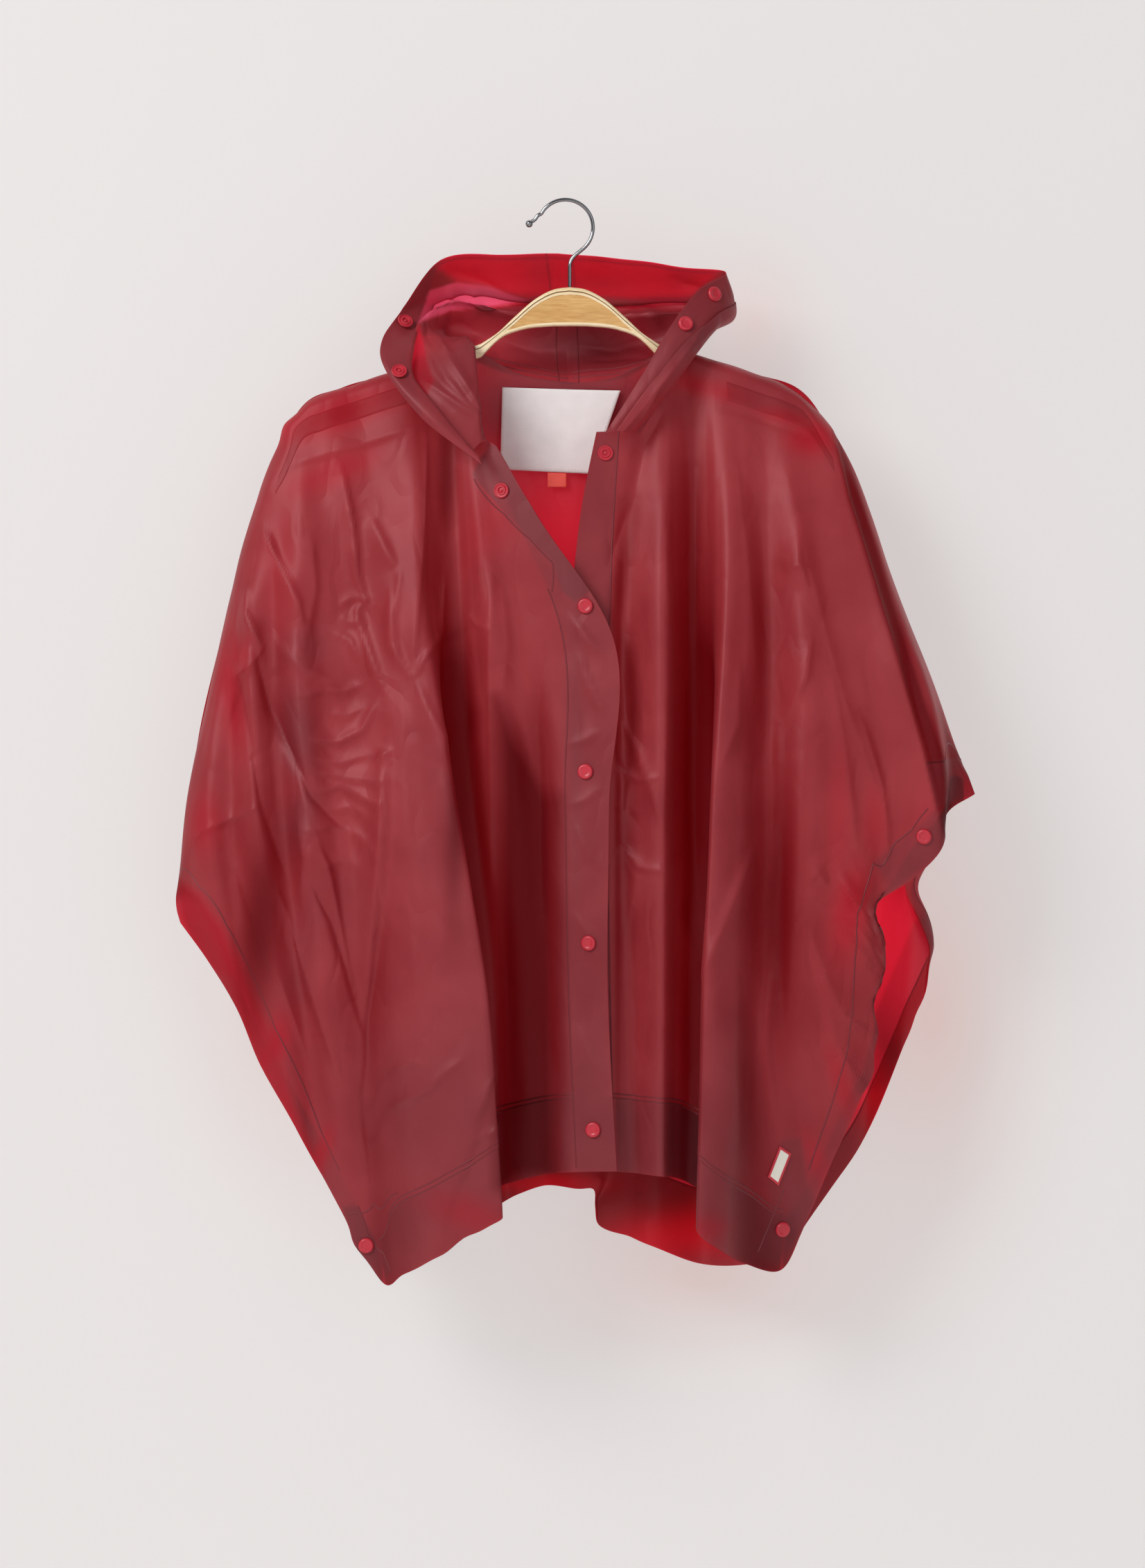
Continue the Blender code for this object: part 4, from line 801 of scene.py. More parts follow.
def grid_faces(number, outward):
    """The faces between the numbered points of a grid."""
    corners = [number[:-1, :-1], number[1:, :-1], number[1:, 1:], number[:-1, 1:]]
    return np.stack(corners if outward > 0 else corners[::-1], axis=-1).reshape(-1, 4)


def grid_mesh(name, points, outward=1, closed=False):
    """A surface through a grid of points; closed joins its last line of points to its first."""
    columns, rows = points.shape[:2]
    number = np.arange(columns * rows).reshape(columns, rows)
    if closed:
        number = np.vstack([number, number[:1]])
    faces = grid_faces(number, outward)
    mesh = bpy.data.meshes.new(name)
    mesh.from_pydata((points.reshape(-1, 3) * 0.001).tolist(), [], faces.tolist())
    mesh.shade_smooth()
    return mesh


def shell_mesh(name, sheet, low, high):
    """A closed mesh between `low` and `high` from a sheet's points, with a round edge."""
    columns, rows = sheet.points.shape[:2]
    ring = [(i, 0) for i in range(columns)] + [(columns - 1, j) for j in range(1, rows)]
    ring += [(i, rows - 1) for i in range(columns - 2, -1, -1)] + [(0, j) for j in range(rows - 2, 0, -1)]
    top = (sheet.points + sheet.normals * high).reshape(-1, 3)
    bottom = (sheet.points + sheet.normals * low).reshape(-1, 3)
    number = np.arange(columns * rows).reshape(columns, rows)
    upper = grid_faces(number, sheet.outward)
    lower = upper[:, ::-1] + columns * rows
    edge = [number[c] for c in ring]
    rim = [(a, b, b + columns * rows, a + columns * rows) if sheet.outward < 0
           else (b, a, a + columns * rows, b + columns * rows) for a, b in zip(edge, edge[1:] + edge[:1])]
    mesh = bpy.data.meshes.new(name)
    faces = upper.tolist() + lower.tolist() + [[int(v) for v in face] for face in rim]
    mesh.from_pydata((np.vstack([top, bottom]) * 0.001).tolist(), [], faces)
    mesh.shade_smooth()
    return mesh


def finished_mesh(name, bm):
    """A smooth mesh of what the bmesh holds, which it frees."""
    mesh = bpy.data.meshes.new(name)
    bm.to_mesh(mesh)
    bm.free()
    mesh.shade_smooth()
    return mesh


def tape(sheet, u, v, thick, lift=0.1):
    """A strip laid on a sheet between grid places u[0]..u[1] and v[0]..v[1], with rounded edges.

    u and v may hold lists, so that the strip's edges can follow a slanted or curved line.
    """
    count = int(max(np.ptp(u[0]) if np.ndim(u[0]) else 0, 40)) * 2 + 1
    along = np.linspace(0, 1, count)

    def line(value):
        value = np.atleast_1d(np.asarray(value, float))
        return np.interp(along, np.linspace(0, 1, len(value)), value) if len(value) > 1 else \
            np.full(count, value[0])

    across = np.array((0.0, 0.04, 0.12, 0.3, 0.5, 0.7, 0.88, 0.96, 1.0))
    heights = thick * np.array((0.0, 0.6, 0.95, 1.0, 1.0, 1.0, 0.95, 0.6, 0.0)) + lift
    us = line(u[0])[:, None] * (1 - across) + line(u[1])[:, None] * across
    vs = line(v[0])[:, None] * (1 - across) + line(v[1])[:, None] * across
    points, normals = at(sheet, us, vs)
    return points + normals * heights[None, :, None]


def seam_line(sheet, u, v, width, height):
    """A welded line: a low round ridge along the grid places (u, v)."""
    points, normals = at(sheet, np.asarray(u, float), np.asarray(v, float))
    run = np.gradient(points, axis=0)
    run /= np.maximum(np.linalg.norm(run, axis=1, keepdims=True), 1e-9)
    side = np.cross(normals, run)
    across = np.linspace(-1, 1, 7)
    rise = np.sqrt(np.clip(1 - across ** 2, 0, 1))
    return (points[:, None] + side[:, None] * (across * width / 2)[None, :, None]
            + normals[:, None] * (rise * height - 0.05)[None, :, None])


def lathe(name, profile, steps=56):
    """A turned shape; the profile is (radius, height) in millimetres, from the middle outwards."""
    turns = np.linspace(0, math.tau, steps, endpoint=False)
    radius, height = np.array(profile).T
    points = np.stack([radius[None] * np.cos(turns)[:, None], radius[None] * np.sin(turns)[:, None],
                       np.broadcast_to(height, (steps, len(height)))], axis=-1)
    mesh = grid_mesh(name, points, -1, closed=True)
    bm = bmesh.new()
    bm.from_mesh(mesh)
    bmesh.ops.remove_doubles(bm, verts=bm.verts, dist=1e-7)
    bmesh.ops.recalc_face_normals(bm, faces=bm.faces)
    bm.to_mesh(mesh)
    bm.free()
    mesh.shade_smooth()
    mesh.set_sharp_from_angle(angle=math.radians(40))
    return mesh


# ---------------------------------------------------------------- finishes

def new_material(name):
    made = bpy.data.materials.new(name)
    made.use_nodes = True
    tree = made.node_tree
    tree.nodes.clear()
    return made, tree


def node(tree, kind, values=(), **settings):
    """A node with its settings and socket values; a value that is a socket is linked."""
    made = tree.nodes.new("ShaderNode" + kind)
    for name, value in settings.items():
        setattr(made, name, value)
    for name, value in dict(values).items():
        if isinstance(value, bpy.types.NodeSocket):
            tree.links.new(value, made.inputs[name])
        else:
            made.inputs[name].default_value = value
    return made


def math_node(tree, operation, *values):
    return node(tree, "Math", dict(enumerate(values)), operation=operation).outputs[0]


def show_mixed(tree, factor, first, second, output):
    """Shows the second shader over the first on a material's surface, by the factor."""
    mixed = node(tree, "MixShader", {"Fac": factor})
    tree.links.new(first, mixed.inputs[1])
    tree.links.new(second, mixed.inputs[2])
    tree.links.new(mixed.outputs[0], output.inputs["Surface"])


def noise(tree, scale, detail=2.0, stretch=(1, 1, 1), roughness=0.5):
    """Noise over the object's own metres; scale counts patches per metre."""
    place = node(tree, "TexCoord").outputs["Object"]
    placed = node(tree, "Mapping", {"Vector": place, "Scale": stretch}).outputs["Vector"]
    return node(tree, "TexNoise", {"Vector": placed, "Scale": scale, "Detail": detail,
                                   "Roughness": roughness}).outputs["Fac"]


def ramp(tree, factor, *stops):
    made = node(tree, "ValToRGB", {"Fac": factor})
    stops = sorted(stops)
    while len(made.color_ramp.elements) < len(stops):
        made.color_ramp.elements.new(0.5)
    for element, (place, colour) in zip(made.color_ramp.elements, stops):
        element.position = place
        element.color = (*colour, 1)
    return made.outputs["Color"]


def bump(tree, height, distance, normal=None):
    values = {"Height": height, "Distance": distance, "Strength": 1.0}
    if normal:
        values["Normal"] = normal
    return node(tree, "Bump", values).outputs["Normal"]


def blended(tree, factor, first, second):
    """A colour between two; each is a socket or a plain colour."""
    values = {0: factor}
    for place, colour in ((6, first), (7, second)):
        values[place] = colour if isinstance(colour, bpy.types.NodeSocket) else (*colour, 1)
    return node(tree, "Mix", values, data_type="RGBA").outputs[2]


# Colours painted into the film in place of light and shade: light through it, darkening for doubled layers and painted
# shade, painted shade in folds with the darker light that passes there, and painted pink light.
LIT_COLOUR = (0.58, 0.026, 0.054)
DOUBLED_AND_SHADE_COLOUR = (0.130, 0.016, 0.022)
FOLD_SHADE_COLOUR = (0.120, 0.002, 0.008)
FOLD_SHADE_GLOW = (0.30, 0.001, 0.010)
ROSY_LIGHT_COLOUR = (0.82, 0.120, 0.230)
ROSY_GLOW = (0.74, 0.085, 0.170)
# GLOW_COLOUR is a painted pink glow on the wall
GLOW_COLOUR = (0.82, 0.60, 0.56)      # on the wall
# What each amount of painted light or shade does to the film: its name, the colour that it blends in, and how much more
# light passes.
FILM_AMOUNTS = (("lit", LIT_COLOUR, 0.36), ("dull", DOUBLED_AND_SHADE_COLOUR, -0.26), ("deep", FOLD_SHADE_COLOUR, 0.45),
                ("rosy", ROSY_LIGHT_COLOUR, 0.25))
PASSING_MIN, PASSING_MAX = 0.04, 0.85
SATIN_THREADS = 2400.0     # for each metre
GRAIN_SCALE = 540.0


def vinyl(name, dark, light, through, share):
    """Frosted vinyl film. It scatters the light that it lets through, and nothing is seen behind it; share is
    how much of its light comes through. The tints and gains paint light and shade into it, and are read from what
    tell_finish lays on a mesh."""
    made, tree = new_material(name)
    colour = ramp(tree, noise(tree, 14, 3), (0.36, dark), (0.66, light))
    amounts = {key: node(tree, "Attribute", attribute_name=key).outputs["Fac"] for key, _, _ in FILM_AMOUNTS}
    passing = share
    # painted light and shade: each amount blends its colour into the film and changes how much light passes
    for key, tint, gain in FILM_AMOUNTS:
        colour = blended(tree, amounts[key], colour, tint)
        passing = math_node(tree, "MULTIPLY_ADD", amounts[key], gain, passing)
    passing = node(tree, "Clamp", {"Value": passing, "Min": PASSING_MIN, "Max": PASSING_MAX}).outputs[0]
    waves = bump(tree, noise(tree, 11, 3, (2.2, 2.2, 1)), 0.0009)
    folds = math_node(tree, "SUBTRACT", noise(tree, 17, 1, (1.5, 1.5, 0.8)), 0.5)
    folds = math_node(tree, "MINIMUM", math_node(tree, "ABSOLUTE", folds), 0.09)
    crumpled = node(tree, "Attribute", attribute_name="crumpled").outputs["Fac"]
    folds = math_node(tree, "MULTIPLY", folds, crumpled)
    waves = bump(tree, folds, 0.010, normal=waves)
    skin = bump(tree, noise(tree, 330, 3, roughness=0.6), 0.00004, normal=waves)
    shader = node(tree, "BsdfPrincipled", {
        "Base Color": colour, "Roughness": 0.50, "IOR": 1.5, "Specular IOR Level": 0.66,
        "Specular Tint": (1.0, 0.60, 0.63, 1), "Sheen Weight": 0.07, "Sheen Roughness": 0.45,
        "Sheen Tint": (1.0, 0.56, 0.60, 1), "Normal": skin})
    # painted shade in folds darkens the light that passes, and painted pink light reddens it on the hood
    through = blended(tree, amounts["deep"], through, FOLD_SHADE_GLOW)
    glow = node(tree, "BsdfTranslucent", {"Color": blended(tree, amounts["rosy"], through, ROSY_GLOW),
                                          "Normal": waves})
    show_mixed(tree, passing, shader.outputs[0], glow.outputs[0], node(tree, "OutputMaterial"))
    return made


def plain(name, colours, roughness, skin=(400, 0.00003), metallic=0.0, coat=0.0, spots=30.0):
    """A hard or woven finish: two near colours in patches, and a fine skin."""
    made, tree = new_material(name)
    colour = ramp(tree, noise(tree, spots, 3), (0.35, colours[0]), (0.65, colours[1]))
    values = {"Base Color": colour, "Roughness": roughness, "Metallic": metallic,
              "Normal": bump(tree, noise(tree, skin[0], 2), skin[1])}
    if coat:
        values["Coat Weight"] = coat
    shader = node(tree, "BsdfPrincipled", values)
    tree.links.new(shader.outputs[0], node(tree, "OutputMaterial").inputs["Surface"])
    return made


def satin(name, colours):
    """Woven satin ribbon: fine threads across, and a soft sheen."""
    made, tree = new_material(name)
    place = node(tree, "TexCoord").outputs["Object"]
    across = node(tree, "TexWave", {"Vector": place, "Scale": SATIN_THREADS / math.tau, "Distortion": 0.4},
                  bands_direction="X").outputs["Fac"]
    down = node(tree, "TexWave", {"Vector": place, "Scale": SATIN_THREADS / math.tau, "Distortion": 0.4},
                bands_direction="Z").outputs["Fac"]
    weave = math_node(tree, "MULTIPLY", across, down)
    colour = ramp(tree, noise(tree, 45, 2), (0.35, colours[0]), (0.65, colours[1]))
    shader = node(tree, "BsdfPrincipled", {
        "Base Color": colour, "Roughness": 0.5, "Sheen Weight": 0.35, "Sheen Roughness": 0.35,
        "Normal": bump(tree, weave, 0.00008)})
    tree.links.new(shader.outputs[0], node(tree, "OutputMaterial").inputs["Surface"])
    return made


def wood(name, pale, honey):
    """Varnished wood with its grain along X."""
    made, tree = new_material(name)
    place = node(tree, "TexCoord").outputs["Object"]
    placed = node(tree, "Mapping", {"Vector": place, "Scale": (0.12, 1.0, 1.0)}).outputs["Vector"]
    warp = node(tree, "TexNoise", {"Vector": placed, "Scale": 60.0, "Detail": 3.0}).outputs["Fac"]
    grain = node(tree, "TexNoise", {"Vector": placed, "Scale": GRAIN_SCALE, "Detail": 5.0,
                                    "Distortion": 0.6}).outputs["Fac"]
    mixed = math_node(tree, "MULTIPLY", grain, warp)
    colour = ramp(tree, mixed, (0.14, honey), (0.34, pale))
    shader = node(tree, "BsdfPrincipled", {
        "Base Color": colour, "Roughness": 0.38, "Coat Weight": 0.25, "Coat Roughness": 0.25,
        "Normal": bump(tree, grain, 0.00012)})
    tree.links.new(shader.outputs[0], node(tree, "OutputMaterial").inputs["Surface"])
    return made


FILM_FINISH = vinyl("frosted vinyl film", (0.275, 0.026, 0.035), (0.345, 0.040, 0.050), (0.72, 0.014, 0.036), 0.30)
DOUBLE_FINISH = vinyl("doubled vinyl film", (0.170, 0.017, 0.024), (0.215, 0.025, 0.032), (0.86, 0.011, 0.032), 0.28)
TAPE_FINISH = vinyl("welded vinyl tape", (0.30, 0.027, 0.036), (0.37, 0.040, 0.050), (0.75, 0.014, 0.036), 0.42)
SNAP_FINISH = plain("moulded red plastic", ((0.48, 0.018, 0.036), (0.54, 0.023, 0.043)), 0.36)
LABEL_FINISH = satin("white satin ribbon", ((0.84, 0.815, 0.81), (0.89, 0.865, 0.86)))
TAB_FINISH = satin("red satin ribbon", ((1.0, 0.110, 0.080), (1.0, 0.130, 0.095)))
BADGE_FINISH = plain("cream rubber badge", ((0.74, 0.70, 0.62), (0.78, 0.74, 0.66)), 0.5)
THREAD_FINISH = plain("white thread", ((0.78, 0.74, 0.71), (0.86, 0.83, 0.80)), 0.7)
PANEL_WOOD = wood("honey beech panel", (0.74, 0.44, 0.155), (0.58, 0.30, 0.085))
RAIL_WOOD = wood("pale birch rail", (0.94, 0.78, 0.52), (0.84, 0.64, 0.36))
# painted shade: a darker wood for the rail's groove
SHADED_GROOVE_WOOD = wood("shaded groove in the rail", (0.34, 0.20, 0.08), (0.24, 0.13, 0.05))
CHROME_FINISH = plain("polished chrome wire", ((0.26, 0.26, 0.27), (0.32, 0.32, 0.33)), 0.10, (900, 0.000004), 1.0)
WALL_FINISH = plain("pale studio wall", ((0.800, 0.775, 0.765), (0.815, 0.790, 0.780)), 0.9, (20, 0.0), spots=1.5)
FLOOR_FINISH = plain("pale studio floor", ((0.78, 0.76, 0.75), (0.80, 0.78, 0.77)), 0.8, (20, 0.0), spots=1.5)


# ---------------------------------------------------------------- the poncho

def column_of(ribs, name):
    return [rib.name for rib in ribs].index(name) * SUBSTEPS


PANEL_RIPPLE = 0.8         # height of the slow waves in a panel
CREASES_FORWARD = 0.8      # how far a panel's creases turn to someone facing it
LAST_ROW = ROLL_ROWS + YOKE_ROWS + BODY_ROWS + BAND_ROWS
BAND_TOP = LAST_ROW - BAND_ROWS
INSIDE = 1.1               # how far a turned-up edge lies behind its panel
WELD_WIDTH, WELD_HEIGHT, HOOD_WELD_HEIGHT = 1.4, 0.45, 0.5


def build_panels():
    """The sheets of the right front, the left front and the back."""
    return [creased(pulled(panel_sheet(ribs, outward), pulls), creases, PANEL_RIPPLE, seed, CREASES_FORWARD)
            for ribs, outward, pulls, creases, seed in (
                (FRONT_RIGHT, -1, RIGHT_PULLS, RIGHT_FRONT_CREASES + CROOK_CREASES, 3),
                (FRONT_LEFT, -1, LEFT_PULLS, LEFT_FRONT_CREASES, 5),
                (BACK, 1, BACK_PULLS, BACK_CREASES, 7))]


def add_film(name, sheet, node_name, lit, dull, deep, crumpled):
    """A sheet of film, with what its finish needs to know: its painted light, painted shade and crumpling."""
    mesh = grid_mesh(name, sheet.points, sheet.outward)
    # painted light, darkening for doubled layers and painted shade, and painted shade where the film lies down in a
    # fold, from the fold's depth and the listed patches
    tell_finish(mesh, lit=patched(sheet, lit), dull=patched(sheet, dull),
                deep=np.maximum(recessed(sheet), patched(sheet, deep)),
                crumpled=0.3 + 0.7 * patched(sheet, crumpled))
    return add_piece(name, mesh, FILM_FINISH, "vinyl", node_name)


def tell_finish(mesh, **amounts):
    """Gives a mesh what its film's finish reads at each point: its painted light, painted shade in folds, darkening for
    doubled layers and painted shade, painted pink light, and how crumpled it is.
    """
    for key, values in amounts.items():
        mesh.attributes.new(key, "FLOAT", "POINT").data.foreach_set("value", values.astype(np.float32).ravel())


def add_band(name, sheet, columns, rows, node_name, lit):
    """A turned edge: a second layer behind the panel."""
    inner = sheet.part(columns, rows).lifted(-INSIDE)
    mesh = grid_mesh(name, inner.points, sheet.outward)
    # painted light through the turned edge
    tell_finish(mesh, lit=patched(inner, lit))
    return add_piece(name, mesh, DOUBLE_FINISH, "doubled_vinyl", node_name)


def add_lines(name, sheet, lines, deep):
    """Welded lines, each a list of grid places (u, v), joined in one mesh."""
    parts = []
    for line in lines:
        u, v = np.array(line, float).T
        steps = np.linspace(0, 1, int(np.hypot(np.ptp(u), np.ptp(v))) * 2 + 20)
        stations = np.linspace(0, 1, len(u))
        parts.append(seam_line(sheet, np.interp(steps, stations, u), np.interp(steps, stations, v), WELD_WIDTH,
                               WELD_HEIGHT))
    bm = bmesh.new()
    for part in parts:
        bm.from_mesh(grid_mesh(name, part, -sheet.outward))
    mesh = finished_mesh(name, bm)
    places = np.array([vertex.co for vertex in mesh.vertices])[:, None] * 1000
    # welds are darker, as doubled film; in folds painted shade darkens them instead
    weld_fold_shade = patched(SimpleNamespace(points=places), deep)
    tell_finish(mesh, dull=0.75 * (1 - weld_fold_shade), deep=weld_fold_shade)
    return add_piece(name, mesh, FILM_FINISH, "vinyl")


def place_of(sheet, x, z):
    """The grid place that someone in front of the sheet sees at (x, z)."""
    near = np.hypot(sheet.points[..., 0] - x, sheet.points[..., 2] - z) + 0.15 * sheet.points[..., 1]
    return np.unravel_index(np.argmin(near), near.shape)


def places_of(sheet, *places):
    return [place_of(sheet, x, z) for x, z in places]


def dress_panel(side, sheet, node_name, tones, bands, welds):
    """A panel's film, its turned bands and its welds.

    tones: painted light, darkening for doubled layers and painted shade, painted shade in folds, and crumpled. bands:
    name, columns, whether it runs down the front edge, node, painted light.
    """
    lit, dull, deep, crumpled = tones
    film = add_film(f"film_{side}", sheet, node_name, lit, dull, deep, crumpled)
    pieces = []
    for name, columns, down_front, band_node, band_lit in bands:
        rows = (2, LAST_ROW) if down_front else (BAND_TOP, LAST_ROW)
        pieces.append(add_band(name, sheet, columns, rows, band_node, band_lit))
    pieces.append(add_lines(f"welds_{side}", sheet, welds, deep))
    return film, pieces


def dress_front_right(sheet):
    corner, placket = column_of(FRONT_RIGHT, "hem corner"), column_of(FRONT_RIGHT, "placket seam")
    end = len(sheet.points) - 1
    # painted light through the film on the front hem band
    hem_lit = LIT_RIGHT + (Patch(-36, -838, 36, 50, 0, 1.0),)
    return dress_panel("front_right", sheet, "front_panel_right",
                       (LIT_RIGHT, DOUBLED_AND_SHADE_RIGHT, FOLD_SHADE_RIGHT, CRUMPLED_RIGHT), (
        ("turned_cuff_front_right", (4, corner), False, "cuff_band_front_right", LIT_RIGHT),
        ("turned_hem_front_right", (corner + 1, placket - 1), False, "hem_band_front_right", hem_lit),
        ("turned_placket_right", (placket, end), True, "placket_right", ()),
    ), [
        places_of(sheet, (-350, -602), (-331, -618), (-308, -652), (-290, -685), (-263, -744), (-240, -790),
                  (-222, -838), (-206, -872)),
        [(corner + 1, BAND_TOP), (placket, BAND_TOP)],
        [(corner + 8, BAND_TOP - 2), (placket, BAND_TOP - 2)],
        places_of(sheet, (-199, -912), (-177, -901), (-154, -891)),
        [(placket, place_of(sheet, -9, -352)[1]), (placket, LAST_ROW - 1)],
        places_of(sheet, (-86, -251), (-58, -283), (-36, -305), (-15, -327), (-15, -352)),
        places_of(sheet, (-191, -903), (-168, -946), (-161, -962)),
    ])


def dress_front_left(sheet):
    corner, placket = column_of(FRONT_LEFT, "shoulder crest"), column_of(FRONT_LEFT, "placket seam")
    end = len(sheet.points) - 1
    return dress_panel("front_left", sheet, "front_panel_left",
                       (LIT_LEFT, DOUBLED_AND_SHADE_LEFT, FOLD_SHADE_LEFT, CRUMPLED_LEFT), (
        ("turned_placket_left", (0, placket), True, "placket_left", ()),
        ("turned_hem_front_left", (placket + 1, corner), False, "hem_band_front_left", LIT_LEFT),
        ("turned_cuff_front_left", (corner + 1, end - 4), False, "cuff_band_front_left", LIT_LEFT),
    ), [
        [(placket, BAND_TOP), (corner, BAND_TOP)],
        [(placket, BAND_TOP - 2), (corner, BAND_TOP - 2)],
        places_of(sheet, (214, -872), (236, -810), (250, -760), (254, -700), (258, -640), (272, -595),
                  (290, -580), (307, -566), (321, -547)),
        places_of(sheet, (320, -506), (336, -504), (352, -502)),
        [(placket, 2), (placket, LAST_ROW - 1)],
        places_of(sheet, (193, -888), (181, -915), (170, -945)),
    ])


def dress_back(sheet):
    first, corner = column_of(BACK, "right corner"), column_of(BACK, "left corner")
    end = len(sheet.points) - 1
    return dress_panel("back", sheet, "back_panel", (LIT_BACK, DOUBLED_AND_SHADE_BACK, (), CRUMPLED_BACK), (
        ("turned_cuff_back_right", (4, first), False, "cuff_band_back_right", LIT_BACK),
        ("turned_hem_back", (first + 1, corner), False, "hem_band_back", LIT_BACK),
        ("turned_cuff_back_left", (corner + 1, end - 4), False, "cuff_band_back_left", LIT_BACK),
    ), [[(4, BAND_TOP), (end - 4, BAND_TOP)]])


def dress_shoulder(name, sheet, ribs, first, last, node_name, lit):
    """The welded shoulder seam, laid on the front panel just below the shoulder line."""
    u = (column_of(ribs, first), column_of(ribs, last))
    strip = Sheet(tape(sheet, ((u[0], u[1]), (u[0], u[1])), (ROLL_ROWS + 2.0, ROLL_ROWS + YOKE_ROWS - 3.0), 0.5),
                  sheet.outward)
    mesh = grid_mesh(name, strip.points, -sheet.outward)
    # painted light on the shoulder tape
    tell_finish(mesh, lit=patched(strip, lit))
    return add_piece(name, mesh, TAPE_FINISH, "vinyl", node_name)


def inner_strip(sheet, u, v, width, height):
    """A welded line on the inner face of a sheet."""
    inside = Sheet(sheet.points, sheet.outward)
    inside.normals = -sheet.normals
    return seam_line(inside, u, v, width, height)


def dress_hood():
    right = creased(hood_sheet(HOOD_RIGHT, "right"), HOOD_RIGHT_CREASES, 0.5, 11)
    left = creased(hood_sheet(HOOD_LEFT, "left"), HOOD_LEFT_CREASES, 0.5, 11)
    sheets = joined(right, left)
    row = np.linspace(0, 1, HOOD_ROWS + 1)
    inner = np.clip((row - 0.36) / 0.04, 0, 1)[None, :]
    pieces = []
    for side, sheet in zip(("right", "left"), sheets):
        # painted light, darkening for doubled layers and painted shade, and painted pink light: the brim's tables above
        # the fold, the inside's below
        lit = patched(sheet, LIT_BRIM) * (1 - inner) + patched(sheet, LIT_INSIDE) * inner
        dull = patched(sheet, DOUBLED_AND_SHADE_BRIM) * (1 - inner) + patched(sheet, DOUBLED_AND_SHADE_INSIDE) * inner
        rosy = patched(sheet, ROSY_LIGHT_HOOD)
        name = f"film_hood_{side}"
        mesh = grid_mesh(name, sheet.points, sheet.outward)
        tell_finish(mesh, lit=lit, dull=dull, rosy=rosy, crumpled=np.full(lit.shape, 0.6))
        film = add_piece(name, mesh, FILM_FINISH, "vinyl", f"hood_half_{side}")
        end = sheet.points.shape[0] - 1
        last = int(FACE_BAND * HOOD_ROWS)
        edge = sheet.part((0, end), (0, last)).lifted(-INSIDE)
        name = f"turned_face_edge_{side}"
        mesh = grid_mesh(name, edge.points, sheet.outward)
        tell_finish(mesh, lit=lit[:, :last + 1], dull=dull[:, :last + 1], rosy=rosy[:, :last + 1])
        band = add_piece(name, mesh, FILM_FINISH, "doubled_vinyl", f"face_band_{side}")
        lines = [([0, end], [last - 1, last - 1]), ([0, end], [3, 3])]
        lines += [([1, end], [HOOD_ROWS - row] * 2) for row in (4, 12)]
        seam = end - 2.5 if side == "right" else 2.5
        lines += [([seam, seam], [0, HOOD_ROWS])]
        bm = bmesh.new()
        for u, v in lines:
            count = int(np.hypot(np.ptp(u), np.ptp(v))) * 2 + 20
            strip = inner_strip(sheet, np.linspace(u[0], u[1], count), np.linspace(v[0], v[1], count),
                                WELD_WIDTH, HOOD_WELD_HEIGHT)
            bm.from_mesh(grid_mesh("line", strip, 1))
        mesh = finished_mesh(f"welds_hood_{side}", bm)
        tell_finish(mesh, dull=np.full(len(mesh.vertices), 0.7))
        pieces.append((film, [band, add_piece(f"welds_hood_{side}", mesh, FILM_FINISH, "vinyl")]))
    return sheets, pieces


CAP_PROFILE = ((0, 2.05), (2.6, 2.0), (3.5, 2.05), (4.1, 2.45), (4.9, 2.6), (5.8, 2.45), (6.5, 1.9),
               (6.9, 1.1), (7.0, 0.2), (6.8, 0.0))
SOCKET_PROFILE = ((0, 1.9), (0.9, 1.85), (1.4, 1.4), (1.5, 0.7), (2.3, 0.6), (2.5, 1.4), (3.1, 2.2), (4.0, 2.2),
                  (4.5, 1.4), (4.8, 0.9), (5.6, 1.0), (6.0, 1.7), (6.6, 1.7), (7.0, 1.0), (7.0, 0.2), (6.8, 0.0))


def add_snap(name, sheet, x, z, profile, side=1, lift=0.5):
    place, normal = seen_at(sheet, x, z)
    normal = Vector(normal) * side
    if side < 0:
        place = place + np.array(normal) * (2 * INSIDE)
    turn = normal.to_track_quat("Z", "Y").to_matrix().to_4x4()
    mesh = lathe(name, profile)
    mesh.transform(Matrix.Translation(mm(*(Vector(place) + normal * lift))) @ turn)
    return add_piece("cap_" + name, mesh, SNAP_FINISH, "snap", name)


def dress_snaps(right, left, back, hoods):
    for number, (x, z) in enumerate(((14, -366), (14, -514), (17, -667), (21, -834)), 1):
        add_snap(f"snap_front_{number}", right, x, z, CAP_PROFILE)
    add_snap("snap_neck_socket", right, -61, -262, SOCKET_PROFILE)
    add_snap("snap_neck_stud", left, 32, -228, SOCKET_PROFILE)
    add_snap("snap_corner_right", right, -183, -940, CAP_PROFILE)
    add_snap("snap_corner_left", left, 191, -925, CAP_PROFILE)
    add_snap("snap_elbow_right", back, -316, -640, CAP_PROFILE, lift=2.8)
    add_snap("snap_elbow_left", left, 317, -572, CAP_PROFILE)
    add_snap("snap_hood_right_1", hoods[0], -150, -110, SOCKET_PROFILE, -1, 2.4)
    add_snap("snap_hood_right_2", hoods[0], -153, -157, SOCKET_PROFILE, -1, 1.0)
    add_snap("snap_hood_left_1", hoods[1], 130, -84, CAP_PROFILE)
    add_snap("snap_hood_left_2", hoods[1], 104, -112, CAP_PROFILE)


NECK_LABEL_GRID, BADGE_GRID = (48, 32), (20, 40)
BADGE_RIM = 3              # grid cells of red around the badge's cream face
RIBBON_HALF = 0.25         # half a ribbon's thickness
STITCH_LENGTH = 2.0


